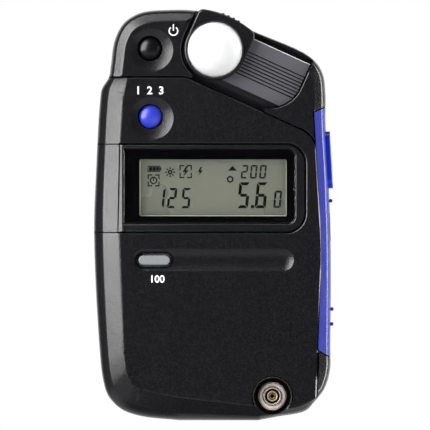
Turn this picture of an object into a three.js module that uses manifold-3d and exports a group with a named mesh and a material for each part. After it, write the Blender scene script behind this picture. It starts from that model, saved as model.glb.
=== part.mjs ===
// A handheld light meter for flash and daylight, with a diffuser head that slides on a ribbed bed.
// Millimetres. +X is the meter's right side, +Z points up and the front faces -Y.
// The origin is the middle of the small flat that the meter stands on.
import * as THREE from "three";
import { mergeVertices } from "three/addons/utils/BufferGeometryUtils.js";
import Module from "manifold-3d";

const wasm = await Module();
wasm.setup();

// Overall sizes
// The body is as wide and as deep as the AA cell that lies across it needs.
const cellLength = 48.9;
const cellRadius = 7.1;
const cellEndRoom = 14.7;
const cellDepthRoom = 7.8;
const bodyWidth = cellLength + cellEndRoom;
const bodyDepth = 2 * cellRadius + cellDepthRoom;
const bodyHeight = 109.7;
const seamDepth = 10;
const wall = 1.8;
const gap = 0.3;
const overrun = 2;
const weld = 1;
const lipWidth = 1.4;
const lipDepth = 3.2;
const halfWidth = bodyWidth / 2;
const faceY = -bodyDepth / 2;
const backY = bodyDepth / 2;
const seamY = faceY + seamDepth;

// A place given as shares of half the width and of the height.
function placeOnBody([xShare, zShare]) {
  return [xShare * halfWidth, zShare * bodyHeight];
}

// Counts that set how finely curves are cut up
const samplesPerSpan = 2;
const roundSides = 22;
const smallSides = 10;
const cornerSteps = 4;
const domeSteps = 6;
const lensSteps = 2;

// Sliding diffuser: everything on the head is laid out along and across the slide
const slideAngle = THREE.MathUtils.degToRad(24.5);
const slideTravel = 16.1;
const domeXShare = 0.017;
const domeZShare = 0.9016;
const domeX = domeXShare * halfWidth;
const domeZ = domeZShare * bodyHeight;
const domeRadius = 7.3;
const domeHeight = 6.8;
const domeWall = 1.1;
const domeFlange = 0.35;
const domeFlangeThickness = 0.6;
const domeRingThickness = 0.5;
const domeRingWidth = 1;
const carriageHalfWidth = 8.2;
const carriageMargin = 0.8;
const recessFootAngle = THREE.MathUtils.degToRad(16);
const carriageReach = 9.55;
const carriageEndReach = 8.2;
const carriageCorner = 1.2;
const carriageEdgeBevel = 0.45;
const carriageSink = 0.1;
const domeSeatDepth = 1.2;
const gripRidgeStart = -1.9;
const gripRidgeCount = 4;
const gripRidgePitch = 1.5;
const gripRidgeRadius = 0.35;
const gripRidgeProud = 0.25;
const bedDepth = 2.6;
const bedThickness = 1.8;
const bedLowerEdge = 6.5;
const bedFacetDrop = 1.1;
const bedGrooveCount = 8;
const bedGroovePitch = 0.9;
const bedGrooveWidth = 0.5;
const bedGrooveDepth = 0.4;
const guideInner = 7;
const guideOuter = 8.2;
const guideDepth = 3;
const guideUndercut = 0.8;
const guideFootHeight = 1.2;
const rimDrop = 1.6;
const headEdge = 8.95;
const frontEdgeInset = 3.5;
const backEdgeInset = 2.7;
const headFarRoom = 7.9;
const headFarCorner = slideTravel + headFarRoom;
const headNearCorner = 7.5;
const guideFloor = 1;
const tongueLength = 12;

// Part lines between the mouldings
const headLineShare = 0.834;
const headLineZ = headLineShare * bodyHeight;
const slantOffset = 9.9;
const coverCornerRadius = 4.5;
const sideCoverTopShare = 0.7484;
const sideCoverBottomShare = 0.1732;
const sideCoverTopZ = sideCoverTopShare * bodyHeight;
const sideCoverBottomZ = sideCoverBottomShare * bodyHeight;
const sideCoverEndRise = 3.1;
const sideCoverBackY = 5;
const sideCoverThickness = 1.4;
const wingTopShare = 0.735;
const wingTopZ = wingTopShare * bodyHeight;
const sideEdgeEase = 12;
const pocketFloor = 1.3;
const pipRadius = 0.5;
const pipProud = 0.15;
const pipHeightShares = [0.535, 0.272, 0.235];

// Display
const displayZShare = 0.5652;
const displayRightShare = 0.7673;
const displayHeight = 23.2;
const displayZ = displayZShare * bodyHeight;
const displayBottomZ = displayZ - displayHeight / 2;
const displayTopZ = displayZ + displayHeight / 2;
const displayRightX = displayRightShare * halfWidth;
const displayCornerRadius = 5;
const windowFrameWidth = 2.6;
const windowFrameBelow = 2.2;
const windowFrameAbove = 1.1;
const windowLeftShare = -0.7484;
const windowLeftX = windowLeftShare * halfWidth;
const windowRightX = displayRightX - windowFrameWidth;
const windowBottomZ = displayBottomZ + windowFrameBelow;
const windowTopZ = displayTopZ - windowFrameAbove;
const windowCornerRadius = 2;
const windowThickness = 1.2;
const windowSink = 0.25;
const windowLedge = 1.2;
const bezelLedge = 0.9;
const glassMargin = 1.8;
const glassEdge = 0.65;
const glassShift = 1.4;
const glassSink = 0.45;
const glassWidth = windowRightX - windowLeftX - 2 * glassMargin;
const glassHeight = windowTopZ - windowBottomZ - 2 * glassEdge;
const glassCentreX = (windowLeftX + windowRightX) / 2 + glassShift;
const glassCentreZ = (windowBottomZ + windowTopZ) / 2 - glassSink;
const glassThickness = 1.9;
const trayWall = 0.9;
const trayFloor = 0.8;
const zebraWidth = 1.8;
const zebraInset = 0.4;

// Front buttons
const dishRadius = 5.65;
const dishDepth = 1.15;
const buttonRadius = 3.05;
const buttonFlange = 0.75;
const buttonFlangeThickness = 0.7;
const buttonCrown = 0.35;
const buttonSink = 0.25;
const dishCollar = 1.4;
const collarDepth = 1.2;
const stemRadius = 1.2;
const pressTravel = 0.5;
const stemPlay = 0.1;
const powerPlaceShares = [-0.5157, 0.9016];
const modePlaceShares = [-0.5126, 0.7366];
const speedPlaceShares = [-0.4906, 0.3911];
const [powerX, powerZ] = placeOnBody(powerPlaceShares);
const [modeX, modeZ] = placeOnBody(modePlaceShares);
const [speedX, speedZ] = placeOnBody(speedPlaceShares);
const speedLength = 8.7;
const speedHeight = 2.9;
const grooveEndShares = [-0.6792, 0.6824];
const [grooveLeftX, grooveRightX] = grooveEndShares.map((share) => share * halfWidth);
const grooveHeight = 6.2;
const grooveDepth = 0.7;
const speedProud = 0.5;

// Side controls
const measureZShare = 0.6345;
const measureZ = measureZShare * bodyHeight;
const measureLength = 15.2;
const measureWidth = 6.4;
const measureCorner = 2.6;
const measureProud = 1.1;
const measureTravel = 0.7;
const measureFlange = 0.9;
const measureFlangeThickness = 1;
const measureDepth = 4.25;
const rockerZShare = 0.4704;
const rockerZ = rockerZShare * bodyHeight;
const rockerLength = 7.4;
const rockerWidth = 5.2;
const rockerProud = 0.45;
const rockerPinRadius = 0.7;
const rockerPinLength = 6.6;
const rockerBlockWall = 0.8;
const rockerPlugDepth = 4.6;
const rockerPinDepth = 3.1;
const controlY = -3.4;

// Electronics
const boardThickness = 1.2;
const boardDepth = 6.8;
const boardY = faceY + boardDepth;
const boardBottomShare = 0.3008;
const boardBottomZ = boardBottomShare * bodyHeight;
const switchSize = 4.4;
const switchHeight = 1.5;
const plungerRadius = 0.9;
const plungerHeight = 0.5;
const sideSwitchWidth = 4.6;
const sideSwitchDepth = 1.3;
const sideSwitchHeight = 2.5;
const sideSwitchRest = 0.4;
const sideSwitchPlay = measureTravel + sideSwitchRest;
const rockerSwitchOffset = 2.6;
const rockerSwitchPlay = 0.5;
const chipSize = 10;
const chipHeight = 1.3;
const chipPlaceShares = [0.063, 0.401];
const [chipX, chipZ] = placeOnBody(chipPlaceShares);
const lensRadius = 3.6;
const lensThickness = 1.4;
const lensCrown = 0.9;
const lensTubeWall = 0.9;
const diodeSize = 4.4;
const diodeHeight = 1.2;

// Battery bay: one AA cell lying across the back
const nubRadius = 2.75;
const nubLength = 1.3;
const cellPlaceShares = [0.0645, 0.1969];
const [cellX, cellZ] = placeOnBody(cellPlaceShares);
const bayWall = 1.2;
const bayPlay = 0.4;
const springWire = 0.5;
const springRadius = 3.6;
const springTopRadius = 1.1;
const springCurls = 2.5;
const springLength = 2.4;
const contactThickness = 0.3;
const contactHeight = 9;
const lidThickness = 1.8;
const lidRail = 1.1;
const lidRailThickness = 0.8;
const lidHalfHeight = 8.2;
const lidGripCount = 5;
const lidGripPitch = 1.8;
const lidGripDepth = 0.35;
const lidGripWidth = 0.8;
const lidGripShare = -0.692;
const lidGripX = lidGripShare * halfWidth;

// Flash sync socket
const socketPlaceShares = [0.4969, 0.0611];
const [socketX, socketZ] = placeOnBody(socketPlaceShares);
const socketRecess = 4.87;
const socketFloorDepth = 4.6;
const nutRadius = 3.8;
const nutThickness = 2.2;
const barrelSink = 1.7;
const insulatorDepth = 6.6;
const bevelSize = 0.3;
const barrelRadius = 2.4;
const barrelBore = 1.95;
const barrelLength = 6.4;
const sleeveRadius = 1.4;
const sleeveBore = 1.0;
const contactRadius = 0.8;
const contactBore = 0.5;

// Fasteners and strap bar
const screwHeadRadius = 1.9;
const screwHeadHeight = 1.3;
const screwShankRadius = 0.9;
const screwLength = 14;
const screwSlot = 0.5;
const bossRadius = 2.3;
const boardScrewLength = 3.6;
const boardBossRadius = 2;
const screwCrossShare = 0.6;
const boardScrewHead = 1.6;
const boardScrewHeadHeight = 0.9;
const strapZShare = 0.3373;
const strapZ = strapZShare * bodyHeight;
const strapSlot = 3.4;
const strapRecessLength = 9;
const strapRecessDepth = 4.2;
const strapBarRadius = 0.8;

// Silhouette of the body seen from the front, clockwise from the left end of the base:
// shares of half the width and of the height.
const leftShares = [
  [-0.283, 0], [-0.604, 0.01], [-0.77, 0.027], [-0.881, 0.06], [-0.925, 0.1], [-0.959, 0.195],
  [-1, 0.456], [-0.981, 0.62], [-0.95, 0.7785], [-0.934, 0.808], [-0.874, 0.837], [-0.858, 0.866],
  [-0.827, 0.925], [-0.748, 0.968], [-0.607, 0.993], [-0.377, 1], [-0.1415, 0.998], [0.05, 0.984],
];
const rightShares = [
  [0.921, 0.846], [0.9465, 0.793], [0.9465, 0.729], [0.972, 0.5925], [0.9906, 0.41], [0.987, 0.182],
  [0.984, 0.122], [0.934, 0.0757], [0.849, 0.0447], [0.78, 0.0235], [0.53, 0.0085], [0.377, 0],
];
// Where the front cover's flat face ends inside that silhouette, for the left side and the base.
const faceLeftShares = [
  [-0.283, 0.058], [-0.54, 0.074], [-0.66, 0.088], [-0.722, 0.112], [-0.742, 0.148], [-0.752, 0.2],
  [-0.783, 0.456], [-0.786, 0.62], [-0.761, 0.7785], [-0.74, 0.808], [-0.726, 0.837], [-0.72, 0.866],
];
const faceBaseShares = [
  [0.987, 0.182], [0.975, 0.13], [0.94, 0.09], [0.86, 0.058], [0.7075, 0.036], [0.535, 0.03],
  [0.377, 0.036],
];
// Right edge of the front cover: foot, belly and the side cover's top end.
const sideEdgeShares = [[0.8585, 0], [0.912, 0.42], [0.843, 0.765]];

// The board's outline: shares of half the width, and of the height above its lower edge.
const boardShares = [
  [-0.73, 0], [-0.73, 0.74], [-0.63, 0.79], [-0.63, 0.92], [0.157, 0.92], [0.346, 0.83], [0.58, 0.72],
  [0.58, 0.68], [0.7, 0.61], [0.77, 0.57], [0.77, 0.17], [0.69, 0.14], [0.69, 0],
];

// The front edges' sections: a share of the seam's depth behind the face, against a share of
// the way in from the silhouette. The back's runs from the seam to the back face.
const coverEdgeShares = [[1, 0], [0.65, 0.06], [0.45, 0.19], [0.29, 0.36], [0, 1]];
const headEdgeShares = [[1, 0], [0.6, 0.04], [0.34, 0.14], [0.2, 0.29], [0.11, 0.54], [0, 1]];
const backEdgeShares = [[0, 0], [0.625, 0], [0.867, 0.33], [1, 1]];

// Materials
function plastic(color, roughness) {
  return new THREE.MeshStandardMaterial({ color, roughness, metalness: 0 });
}
function metal(color, roughness) {
  return new THREE.MeshStandardMaterial({ color, roughness, metalness: 1 });
}
const mouldedBlack = plastic("#1b1b1e", 0.55);
const glossBlack = plastic("#0b0b0d", 0.1);
const greyKey = plastic("#6f7175", 0.4);
const brightBlue = plastic("#4355d0", 0.4);
const deepBlue = plastic("#1a2f9f", 0.35);
const milkWhite = plastic("#f4f4f2", 0.5);
const clearGlass = plastic("#9aa7a2", 0.05);
const displayGrey = plastic("#8a8c7c", 0.3);
const boardGreen = plastic("#1f5a38", 0.5);
const stripGrey = plastic("#8f8f92", 0.8);
const chipBlack = plastic("#141416", 0.5);
const nickel = metal("#b9b9b4", 0.25);
const steel = metal("#8e9094", 0.35);
const gold = metal("#c9a24a", 0.25);

// Solids: a closed geometry becomes a solid whose faces point out
function solid(geometry) {
  const bare = geometry.clone();
  bare.deleteAttribute("normal");
  bare.deleteAttribute("uv");
  const merged = mergeVertices(bare);
  const corners = [];
  const index = merged.index.array;
  for (let i = 0; i < index.length; i += 3) {
    const [a, b, c] = [index[i], index[i + 1], index[i + 2]];
    if (a !== b && b !== c && c !== a) corners.push(a, b, c);
  }
  const positions = merged.attributes.position.array;
  const made = fromTriangles(positions, corners);
  return made.volume() < 0 ? fromTriangles(positions, corners.reverse()) : made;
}

function fromTriangles(positions, corners) {
  return new wasm.Manifold(
    new wasm.Mesh({ numProp: 3, vertProperties: positions, triVerts: new Uint32Array(corners) }),
  );
}

function cut(body, ...tools) {
  return tools.reduce((left, tool) => left.subtract(tool), body);
}

function joined(body, ...others) {
  return others.reduce((whole, other) => whole.add(other), body);
}

function common(body, ...others) {
  return others.reduce((shared, other) => shared.intersect(other), body);
}

function piece(name, body, material) {
  const made = body.getMesh();
  const geometry = new THREE.BufferGeometry();
  geometry.setAttribute("position", new THREE.BufferAttribute(made.vertProperties, 3));
  geometry.setIndex(new THREE.BufferAttribute(made.triVerts, 1));
  geometry.computeVertexNormals();
  const mesh = new THREE.Mesh(geometry, material);
  mesh.name = name;
  return mesh;
}

function placed(mesh, x, y, z) {
  mesh.position.set(x, y, z);
  return mesh;
}

// A shape drawn in X and Z, taken through the depth from fromY to toY.
function prism(shape, fromY, toY) {
  const geometry = new THREE.ExtrudeGeometry(shape, {
    depth: toY - fromY,
    bevelEnabled: false,
    curveSegments: cornerSteps,
  });
  geometry.rotateX(Math.PI / 2);
  geometry.translate(0, toY, 0);
  return solid(geometry);
}

function block(fromX, toX, fromY, toY, fromZ, toZ) {
  const geometry = new THREE.BoxGeometry(toX - fromX, toY - fromY, toZ - fromZ);
  geometry.translate((fromX + toX) / 2, (fromY + toY) / 2, (fromZ + toZ) / 2);
  return solid(geometry);
}

// A profile of [radius, y] pairs turned about an axis along Y through x and z.
function turned(profile, x, z, sides = roundSides) {
  const points = profile.map(([radius, y]) => new THREE.Vector2(radius, y));
  const geometry = new THREE.LatheGeometry(points, sides);
  geometry.translate(x, 0, z);
  return solid(geometry);
}

function disc(radius, fromY, toY, x, z, sides = roundSides) {
  return turned([[0, fromY], [radius, fromY], [radius, toY], [0, toY]], x, z, sides);
}

// The same, about an axis along X: a profile of [radius, x] pairs.
function turnedAcross(profile, y, z, sides = roundSides) {
  const points = profile.map(([radius, x]) => new THREE.Vector2(radius, x));
  const geometry = new THREE.LatheGeometry(points, sides);
  geometry.rotateZ(-Math.PI / 2);
  geometry.translate(0, y, z);
  return solid(geometry);
}

function rodAcross(radius, fromX, toX, y, z, sides = smallSides) {
  return turnedAcross([[0, fromX], [radius, fromX], [radius, toX], [0, toX]], y, z, sides);
}

// A rectangle with rounded corners, or an oblong where the radius is half its height.
function roundedRectangle(fromX, toX, fromZ, toZ, radius) {
  const shape = new THREE.Shape();
  const quarter = Math.PI / 2;
  shape.absarc(toX - radius, fromZ + radius, radius, -quarter, 0, false);
  shape.absarc(toX - radius, toZ - radius, radius, 0, quarter, false);
  shape.absarc(fromX + radius, toZ - radius, radius, quarter, 2 * quarter, false);
  shape.absarc(fromX + radius, fromZ + radius, radius, 2 * quarter, 3 * quarter, false);
  return shape;
}

function polygon(points) {
  return new THREE.Shape(points.map(([x, z]) => new THREE.Vector2(x, z)));
}

// Slide frame: u runs along the slide, v across it, measured from the dome's centre at rest
const slideAlong = new THREE.Vector2(Math.cos(slideAngle), -Math.sin(slideAngle));
const slideAcross = new THREE.Vector2(Math.sin(slideAngle), Math.cos(slideAngle));

function slidePoint(u, v) {
  return [domeX + u * slideAlong.x + v * slideAcross.x, domeZ + u * slideAlong.y + v * slideAcross.y];
}

// A shape drawn in u and v, taken through the depth.
function slidePrism(shape, fromY, toY) {
  const geometry = new THREE.ExtrudeGeometry(shape, {
    depth: toY - fromY,
    bevelEnabled: false,
    curveSegments: 2 * cornerSteps,
  });
  geometry.rotateZ(-slideAngle);
  geometry.rotateX(Math.PI / 2);
  geometry.translate(domeX, toY, domeZ);
  return solid(geometry);
}

// A section of [v, depth behind the face] pairs, taken along the slide from fromU to toU.
function slideRail(section, fromU, toU) {
  const shape = new THREE.Shape(section.map(([v, depth]) => new THREE.Vector2(v, -faceY - depth)));
  const geometry = new THREE.ExtrudeGeometry(shape, { depth: toU - fromU, bevelEnabled: false });
  geometry.translate(0, 0, fromU);
  const along = new THREE.Vector3(slideAlong.x, 0, slideAlong.y);
  const across = new THREE.Vector3(slideAcross.x, 0, slideAcross.y);
  const forward = new THREE.Vector3(0, -1, 0);
  geometry.applyMatrix4(new THREE.Matrix4().makeBasis(across, forward, along));
  geometry.translate(domeX, 0, domeZ);
  return solid(geometry);
}

// Outlines and lofts
function sized(shares) {
  return shares.map(placeOnBody);
}

function smooth(points) {
  const curve = new THREE.CatmullRomCurve3(
    points.map(([x, z]) => new THREE.Vector3(x, 0, z)),
    false,
    "centripetal",
  );
  return curve.getPoints((points.length - 1) * samplesPerSpan).map((p) => [p.x, Math.max(p.z, 0)]);
}

// The head's slanted top edge runs beside the slide, so it is laid out from the slide.
const topEdge = [slidePoint(headNearCorner, headEdge), slidePoint(headFarCorner, headEdge)];
const silhouette = smooth([...sized(leftShares), ...topEdge, ...sized(rightShares)]);
const faceOutline = smooth([
  ...sized(faceLeftShares),
  ...sized(leftShares.slice(faceLeftShares.length)),
  ...topEdge,
  ...sized(rightShares.slice(0, -faceBaseShares.length)),
  ...sized(faceBaseShares),
]);

function blended(from, to, share) {
  return from.map(([x, z], i) => [x + (to[i][0] - x) * share, z + (to[i][1] - z) * share]);
}

// Moves each point of a clockwise outline square to its neighbours' line, inwards.
function inset(outline, distance) {
  return outline.map(([x, z], i) => {
    const [ax, az] = outline[(i + outline.length - 1) % outline.length];
    const [bx, bz] = outline[(i + 1) % outline.length];
    const length = Math.hypot(bx - ax, bz - az);
    return [x + ((bz - az) / length) * distance, z - ((bx - ax) / length) * distance];
  });
}

// Joins rings of equal point counts, each { y, outline }, and closes both ends with a fan.
function loft(rings) {
  const count = rings[0].outline.length;
  const positions = rings.flatMap(({ y, outline }) => outline.flatMap(([x, z]) => [x, y, z]));
  const index = [];
  for (let ring = 0; ring + 1 < rings.length; ring++) {
    for (let i = 0; i < count; i++) {
      const a = ring * count + i;
      const b = ring * count + ((i + 1) % count);
      index.push(a, b, b + count, a, b + count, a + count);
    }
  }
  for (const ring of [0, rings.length - 1]) {
    const hub = positions.length / 3;
    const { y, outline } = rings[ring];
    const middle = outline.reduce(([sx, sz], [x, z]) => [sx + x / count, sz + z / count], [0, 0]);
    positions.push(middle[0], y, middle[1]);
    for (let i = 0; i < count; i++) {
      const [a, b] = [ring * count + i, ring * count + ((i + 1) % count)];
      index.push(hub, ...(ring === 0 ? [b, a] : [a, b]));
    }
  }
  const geometry = new THREE.BufferGeometry();
  geometry.setAttribute("position", new THREE.Float32BufferAttribute(positions, 3));
  geometry.setIndex(index);
  return solid(geometry);
}

// Inner surfaces need fewer rings: every other one is left out.
function coarse(shares, thickness) {
  return thickness > 0 ? shares.filter((_, i) => i % 2 === 0 || i === shares.length - 1) : shares;
}

// Rounds an outline's tight bends by averaging each point with its neighbours.
function eased(outline) {
  const count = outline.length;
  return outline.map(([x, z], i) => {
    const [ax, az] = outline[(i + count - 1) % count];
    const [bx, bz] = outline[(i + 1) % count];
    return [(ax + 2 * x + bx) / 4, (az + 2 * z + bz) / 4];
  });
}

// The front cover's outer or inner surface: thickness moves it in from the sides and the face.
function coverLoft(thickness, backMost) {
  const rings = coarse(coverEdgeShares, thickness).map(([depthShare, share]) => ({
    y: faceY + depthShare * seamDepth + thickness,
    outline: inset(blended(silhouette, faceOutline, share), thickness),
  }));
  return loft([{ y: backMost, outline: rings[0].outline }, ...rings.slice(1)]);
}

function headLoft(thickness, backMost) {
  const rings = coarse(headEdgeShares, thickness).map(([depthShare, share]) => ({
    y: faceY + depthShare * seamDepth + thickness,
    outline: inset(silhouette, share * frontEdgeInset + thickness),
  }));
  return loft([{ y: backMost, outline: rings[0].outline }, ...rings.slice(1)]);
}

function backOutline(share, distance) {
  const rounded = eased(eased(eased(silhouette)));
  return inset(blended(silhouette, rounded, Math.min(2 * share, 1)), share * backEdgeInset + distance);
}

function backLoft(thickness, frontMost) {
  const rings = backEdgeShares.map(([depthShare, share]) => ({
    y: seamY + depthShare * (backY - seamY) - thickness,
    outline: backOutline(share, thickness),
  }));
  return loft([{ y: frontMost, outline: rings[0].outline }, ...rings.slice(1)]);
}

// A shape drawn in Y and Z, taken across the body from fromX to toX.
function sidePrism(shape, fromX, toX) {
  const geometry = new THREE.ExtrudeGeometry(shape, {
    depth: toX - fromX,
    bevelEnabled: false,
    curveSegments: cornerSteps,
  });
  const [x, y, z] = [new THREE.Vector3(1, 0, 0), new THREE.Vector3(0, 1, 0), new THREE.Vector3(0, 0, 1)];
  geometry.applyMatrix4(new THREE.Matrix4().makeBasis(y, z, x));
  geometry.translate(fromX, 0, 0);
  return solid(geometry);
}

// The whole body's surface, moved in square to the silhouette.
function bodyLoft(distance) {
  const front = headEdgeShares.map(([depthShare, share]) => ({
    y: faceY + depthShare * seamDepth,
    outline: inset(silhouette, share * frontEdgeInset + distance),
  }));
  const back = backEdgeShares.slice(1).map(([depthShare, share]) => ({
    y: seamY + depthShare * (backY - seamY),
    outline: backOutline(share, distance),
  }));
  return loft([...front.reverse(), ...back]);
}

// A polygon whose corners, given as [x, z, cut back], are eased by curves.
function softened(corners) {
  const shape = new THREE.Shape();
  corners.forEach(([x, z, back], i) => {
    const [px, pz] = corners[(i + corners.length - 1) % corners.length];
    const [nx, nz] = corners[(i + 1) % corners.length];
    const before = back / Math.hypot(px - x, pz - z);
    const after = back / Math.hypot(nx - x, nz - z);
    const start = [x + (px - x) * before, z + (pz - z) * before];
    if (i === 0) shape.moveTo(...start);
    else shape.lineTo(...start);
    if (back > 0) shape.quadraticCurveTo(x, z, x + (nx - x) * after, z + (nz - z) * after);
  });
  shape.closePath();
  return shape;
}

// Where the line through p along d meets the line from a to b.
function crossing([px, pz], d, [ax, az], [bx, bz]) {
  const [ex, ez] = [bx - ax, bz - az];
  const along = ((ax - px) * ez - (az - pz) * ex) / (d.x * ez - d.y * ex);
  return [px + d.x * along, pz + d.y * along];
}

// Part lines. The side edge runs from the base past the belly to the side cover's top end.
function sideEdge(grow) {
  return sized(sideEdgeShares).map(([x, z]) => [x + grow, z]);
}

function sideEdgeAt(z, grow) {
  const [foot, belly, top] = sideEdge(grow);
  const [from, to] = z < belly[1] ? [foot, belly] : [belly, top];
  return [from[0] + ((to[0] - from[0]) * (z - from[1])) / (to[1] - from[1]), z];
}

// Everything the front cover fills, seen from the front; grow moves its edge outwards.
function coverShape(grow) {
  const [, belly, top] = sideEdge(grow);
  const slantStart = slidePoint(0, grow - slantOffset);
  const lineZ = headLineZ + grow;
  const leftEnd = crossing(slantStart, slideAlong, [0, lineZ], [halfWidth, lineZ]);
  const rightEnd = crossing(slantStart, slideAlong, belly, top);
  return softened([
    [-halfWidth - overrun, -overrun, 0],
    [-halfWidth - overrun, lineZ, 0],
    [...leftEnd, lipWidth],
    [...rightEnd, coverCornerRadius],
    [...belly, sideEdgeEase],
    [...sideEdgeAt(-overrun, grow), 0],
  ]);
}

// Everything to the right of the side edge between two heights; rise slants the ends outwards.
function sideShape(grow, fromZ, toZ, rise) {
  const farX = halfWidth + overrun;
  return softened([
    [...sideEdgeAt(fromZ, grow), 0],
    [...sideEdge(grow)[1], sideEdgeEase],
    [...sideEdgeAt(toZ, grow), 0],
    [farX, toZ + rise, 0],
    [farX, fromZ - rise, 0],
  ]);
}

function sideCoverShape(grow) {
  return sideShape(-grow, sideCoverBottomZ - grow, sideCoverTopZ + grow, sideCoverEndRise);
}

function displayShape(grow) {
  const shape = new THREE.Shape();
  const right = displayRightX + grow;
  const radius = displayCornerRadius + grow;
  shape.moveTo(-halfWidth - overrun, displayBottomZ - grow);
  shape.lineTo(right - radius, displayBottomZ - grow);
  shape.absarc(right - radius, displayBottomZ - grow + radius, radius, -Math.PI / 2, 0, false);
  shape.absarc(right - radius, displayTopZ + grow - radius, radius, 0, Math.PI / 2, false);
  shape.lineTo(-halfWidth - overrun, displayTopZ + grow);
  shape.closePath();
  return shape;
}

// The window's outline: square at the left, rounded at the right.
function windowShape(grow) {
  const shape = new THREE.Shape();
  const right = windowRightX + grow;
  const radius = windowCornerRadius + grow;
  shape.moveTo(windowLeftX - grow, windowBottomZ - grow);
  shape.lineTo(right - radius, windowBottomZ - grow);
  shape.absarc(right - radius, windowBottomZ - grow + radius, radius, -Math.PI / 2, 0, false);
  shape.absarc(right - radius, windowTopZ + grow - radius, radius, 0, Math.PI / 2, false);
  shape.lineTo(windowLeftX - grow, windowTopZ + grow);
  shape.closePath();
  return shape;
}

// Room for the side cover: a pocket in the mouldings under it, with a floor of their own.
const pocketDepth = sideCoverThickness + gap;
const coverFloor = pocketDepth + pocketFloor;

function sidePocket() {
  const room = prism(sideCoverShape(gap), faceY - overrun, sideCoverBackY + gap);
  return cut(room, bodyLoft(pocketDepth));
}

// Keeps a hollow out of the pocket's floor.
function pocketBacking() {
  const zone = prism(sideCoverShape(wall), faceY - overrun, sideCoverBackY + wall);
  return cut(zone, bodyLoft(coverFloor));
}

// A shallow round dish for a fingertip, turned about the button's axis.
function dish(x, z) {
  const sphere = (dishRadius ** 2 + dishDepth ** 2) / (2 * dishDepth);
  const profile = [[0, faceY - overrun], [dishRadius, faceY - overrun]];
  for (let step = 0; step <= cornerSteps; step++) {
    const radius = dishRadius * (1 - step / cornerSteps);
    const drop = Math.sqrt(sphere ** 2 - radius ** 2) - (sphere - dishDepth);
    profile.push([radius, faceY + drop]);
  }
  return turned(profile, x, z);
}

// The collar behind a dish, which the button's flange stops against.
const collarBackY = faceY + wall + collarDepth;
function collar(x, z) {
  return disc(dishRadius, faceY + wall - weld, collarBackY, x, z);
}

// Sizes that several pieces share
const buttonHole = buttonRadius + gap;
const flangeRadius = buttonRadius + buttonFlange;
const bezelThickness = windowSink + windowThickness + bezelLedge;
const glassFrontY = faceY + bezelThickness + gap;
const glassBackY = glassFrontY + glassThickness;
const domeSeatY = faceY + domeSeatDepth;
const bedY = faceY + bedDepth;
const bedBackY = bedY + bedThickness;
const recessRadius = carriageHalfWidth + carriageMargin;
const boardBackY = boardY + boardThickness;
const plungerTipY = boardY - switchHeight - plungerHeight;
const stemEndY = plungerTipY - pressTravel - stemPlay;
const sideSwitchY = boardY - sideSwitchHeight / 2;
const insulatorY = faceY + insulatorDepth;
const measureStemX = flankX(measureZ, 1) - measureDepth;
const rockerInnerX = flankX(rockerZ, 1) - rockerPlugDepth;
const rockerPinX = flankX(rockerZ, 1) - rockerPinDepth;
const rockerSwitchX = rockerInnerX - rockerSwitchPlay;
const lensTubeRadius = lensRadius + gap / 2 + lensTubeWall;
const cellY = backY - lidThickness - gap - cellRadius;
const bayRadius = cellRadius + bayPlay;
const springX = cellX - cellLength / 2 - springLength;
const bayLeftX = springX - contactThickness - gap;
const bayRightX = cellX + cellLength / 2 + nubLength + contactThickness + gap;
const bayEndX = bayRightX + bayWall + gap;
const lidY = backY - lidThickness;
const railBackY = lidY + lidRailThickness;
const lidRightX = bayRightX + gap;
const boardScrewTipY = boardBackY - boardScrewLength - gap;
const socketBackY = faceY + socketFloorDepth + bayWall;

// Front fixings stand in the front mouldings, with a tube for each in the rear case
const headScrewShares = [[-0.7358, 0.8569], [0.7956, 0.7967]];
const coverScrewShares = [[-0.8239, 0.4102], [0.7799, 0.3282]];
const boardScrewShares = [[-0.5503, 0.3309], [0.4403, 0.7056]];
const headScrews = sized(headScrewShares);
const coverScrews = sized(coverScrewShares);
const boardScrews = sized(boardScrewShares);

function screwBoss(x, z) {
  return disc(bossRadius, faceY + wall - weld, seamY, x, z, smallSides);
}

function screwHole(x, z) {
  const tipY = backY - screwHeadHeight - gap - screwLength - gap;
  return disc(screwShankRadius + gap, tipY, backY + overrun, x, z, smallSides);
}

// Front cover: the lower moulding, with its bevelled left side and foot
function frontCover() {
  const within = prism(coverShape(0), faceY - overrun, seamY + overrun);
  const shallow = prism(coverShape(-lipWidth), faceY - overrun, faceY + lipDepth + overrun);
  const deep = block(-bodyWidth, bodyWidth, faceY + lipDepth, backY, -overrun, bodyHeight);
  const hollow = common(coverLoft(wall, seamY + overrun), joined(shallow, deep));
  const shell = cut(common(coverLoft(0, seamY), within), hollow);
  const bosses = common(
    coverLoft(0, seamY),
    joined(
      collar(modeX, modeZ),
      prism(speedKeyShape(dishCollar), faceY + wall - weld, collarBackY),
      disc(socketRecess + bayWall, faceY + weld, socketBackY, socketX, socketZ),
      ...coverScrews.map(([x, z]) => screwBoss(x, z)),
      ...boardScrews.map(([x, z]) => boardBoss(x, z)),
    ),
  );
  return cut(
    joined(shell, bosses),
    prism(displayShape(gap), faceY - overrun, seamY + overrun),
    prism(fingerGrooveShape(), faceY - overrun, faceY + grooveDepth),
    prism(speedKeyShape(gap), faceY - overrun, seamY),
    dish(modeX, modeZ),
    disc(buttonHole, faceY - overrun, seamY, modeX, modeZ),
    socketPocket(),
    ...coverScrews.map(([x, z]) => screwHole(x, z)),
    ...boardScrews.map(([x, z]) => disc(screwShankRadius + gap, boardScrewTipY, seamY, x, z, smallSides)),
  );
}

function fingerGrooveShape() {
  const low = speedZ - grooveHeight / 2;
  return roundedRectangle(grooveLeftX, grooveRightX, low, low + grooveHeight, grooveHeight / 2);
}

function speedKeyShape(grow) {
  const [halfLength, halfHeight] = [speedLength / 2 + grow, speedHeight / 2 + grow];
  return roundedRectangle(
    speedX - halfLength, speedX + halfLength, speedZ - halfHeight, speedZ + halfHeight, halfHeight,
  );
}

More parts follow.
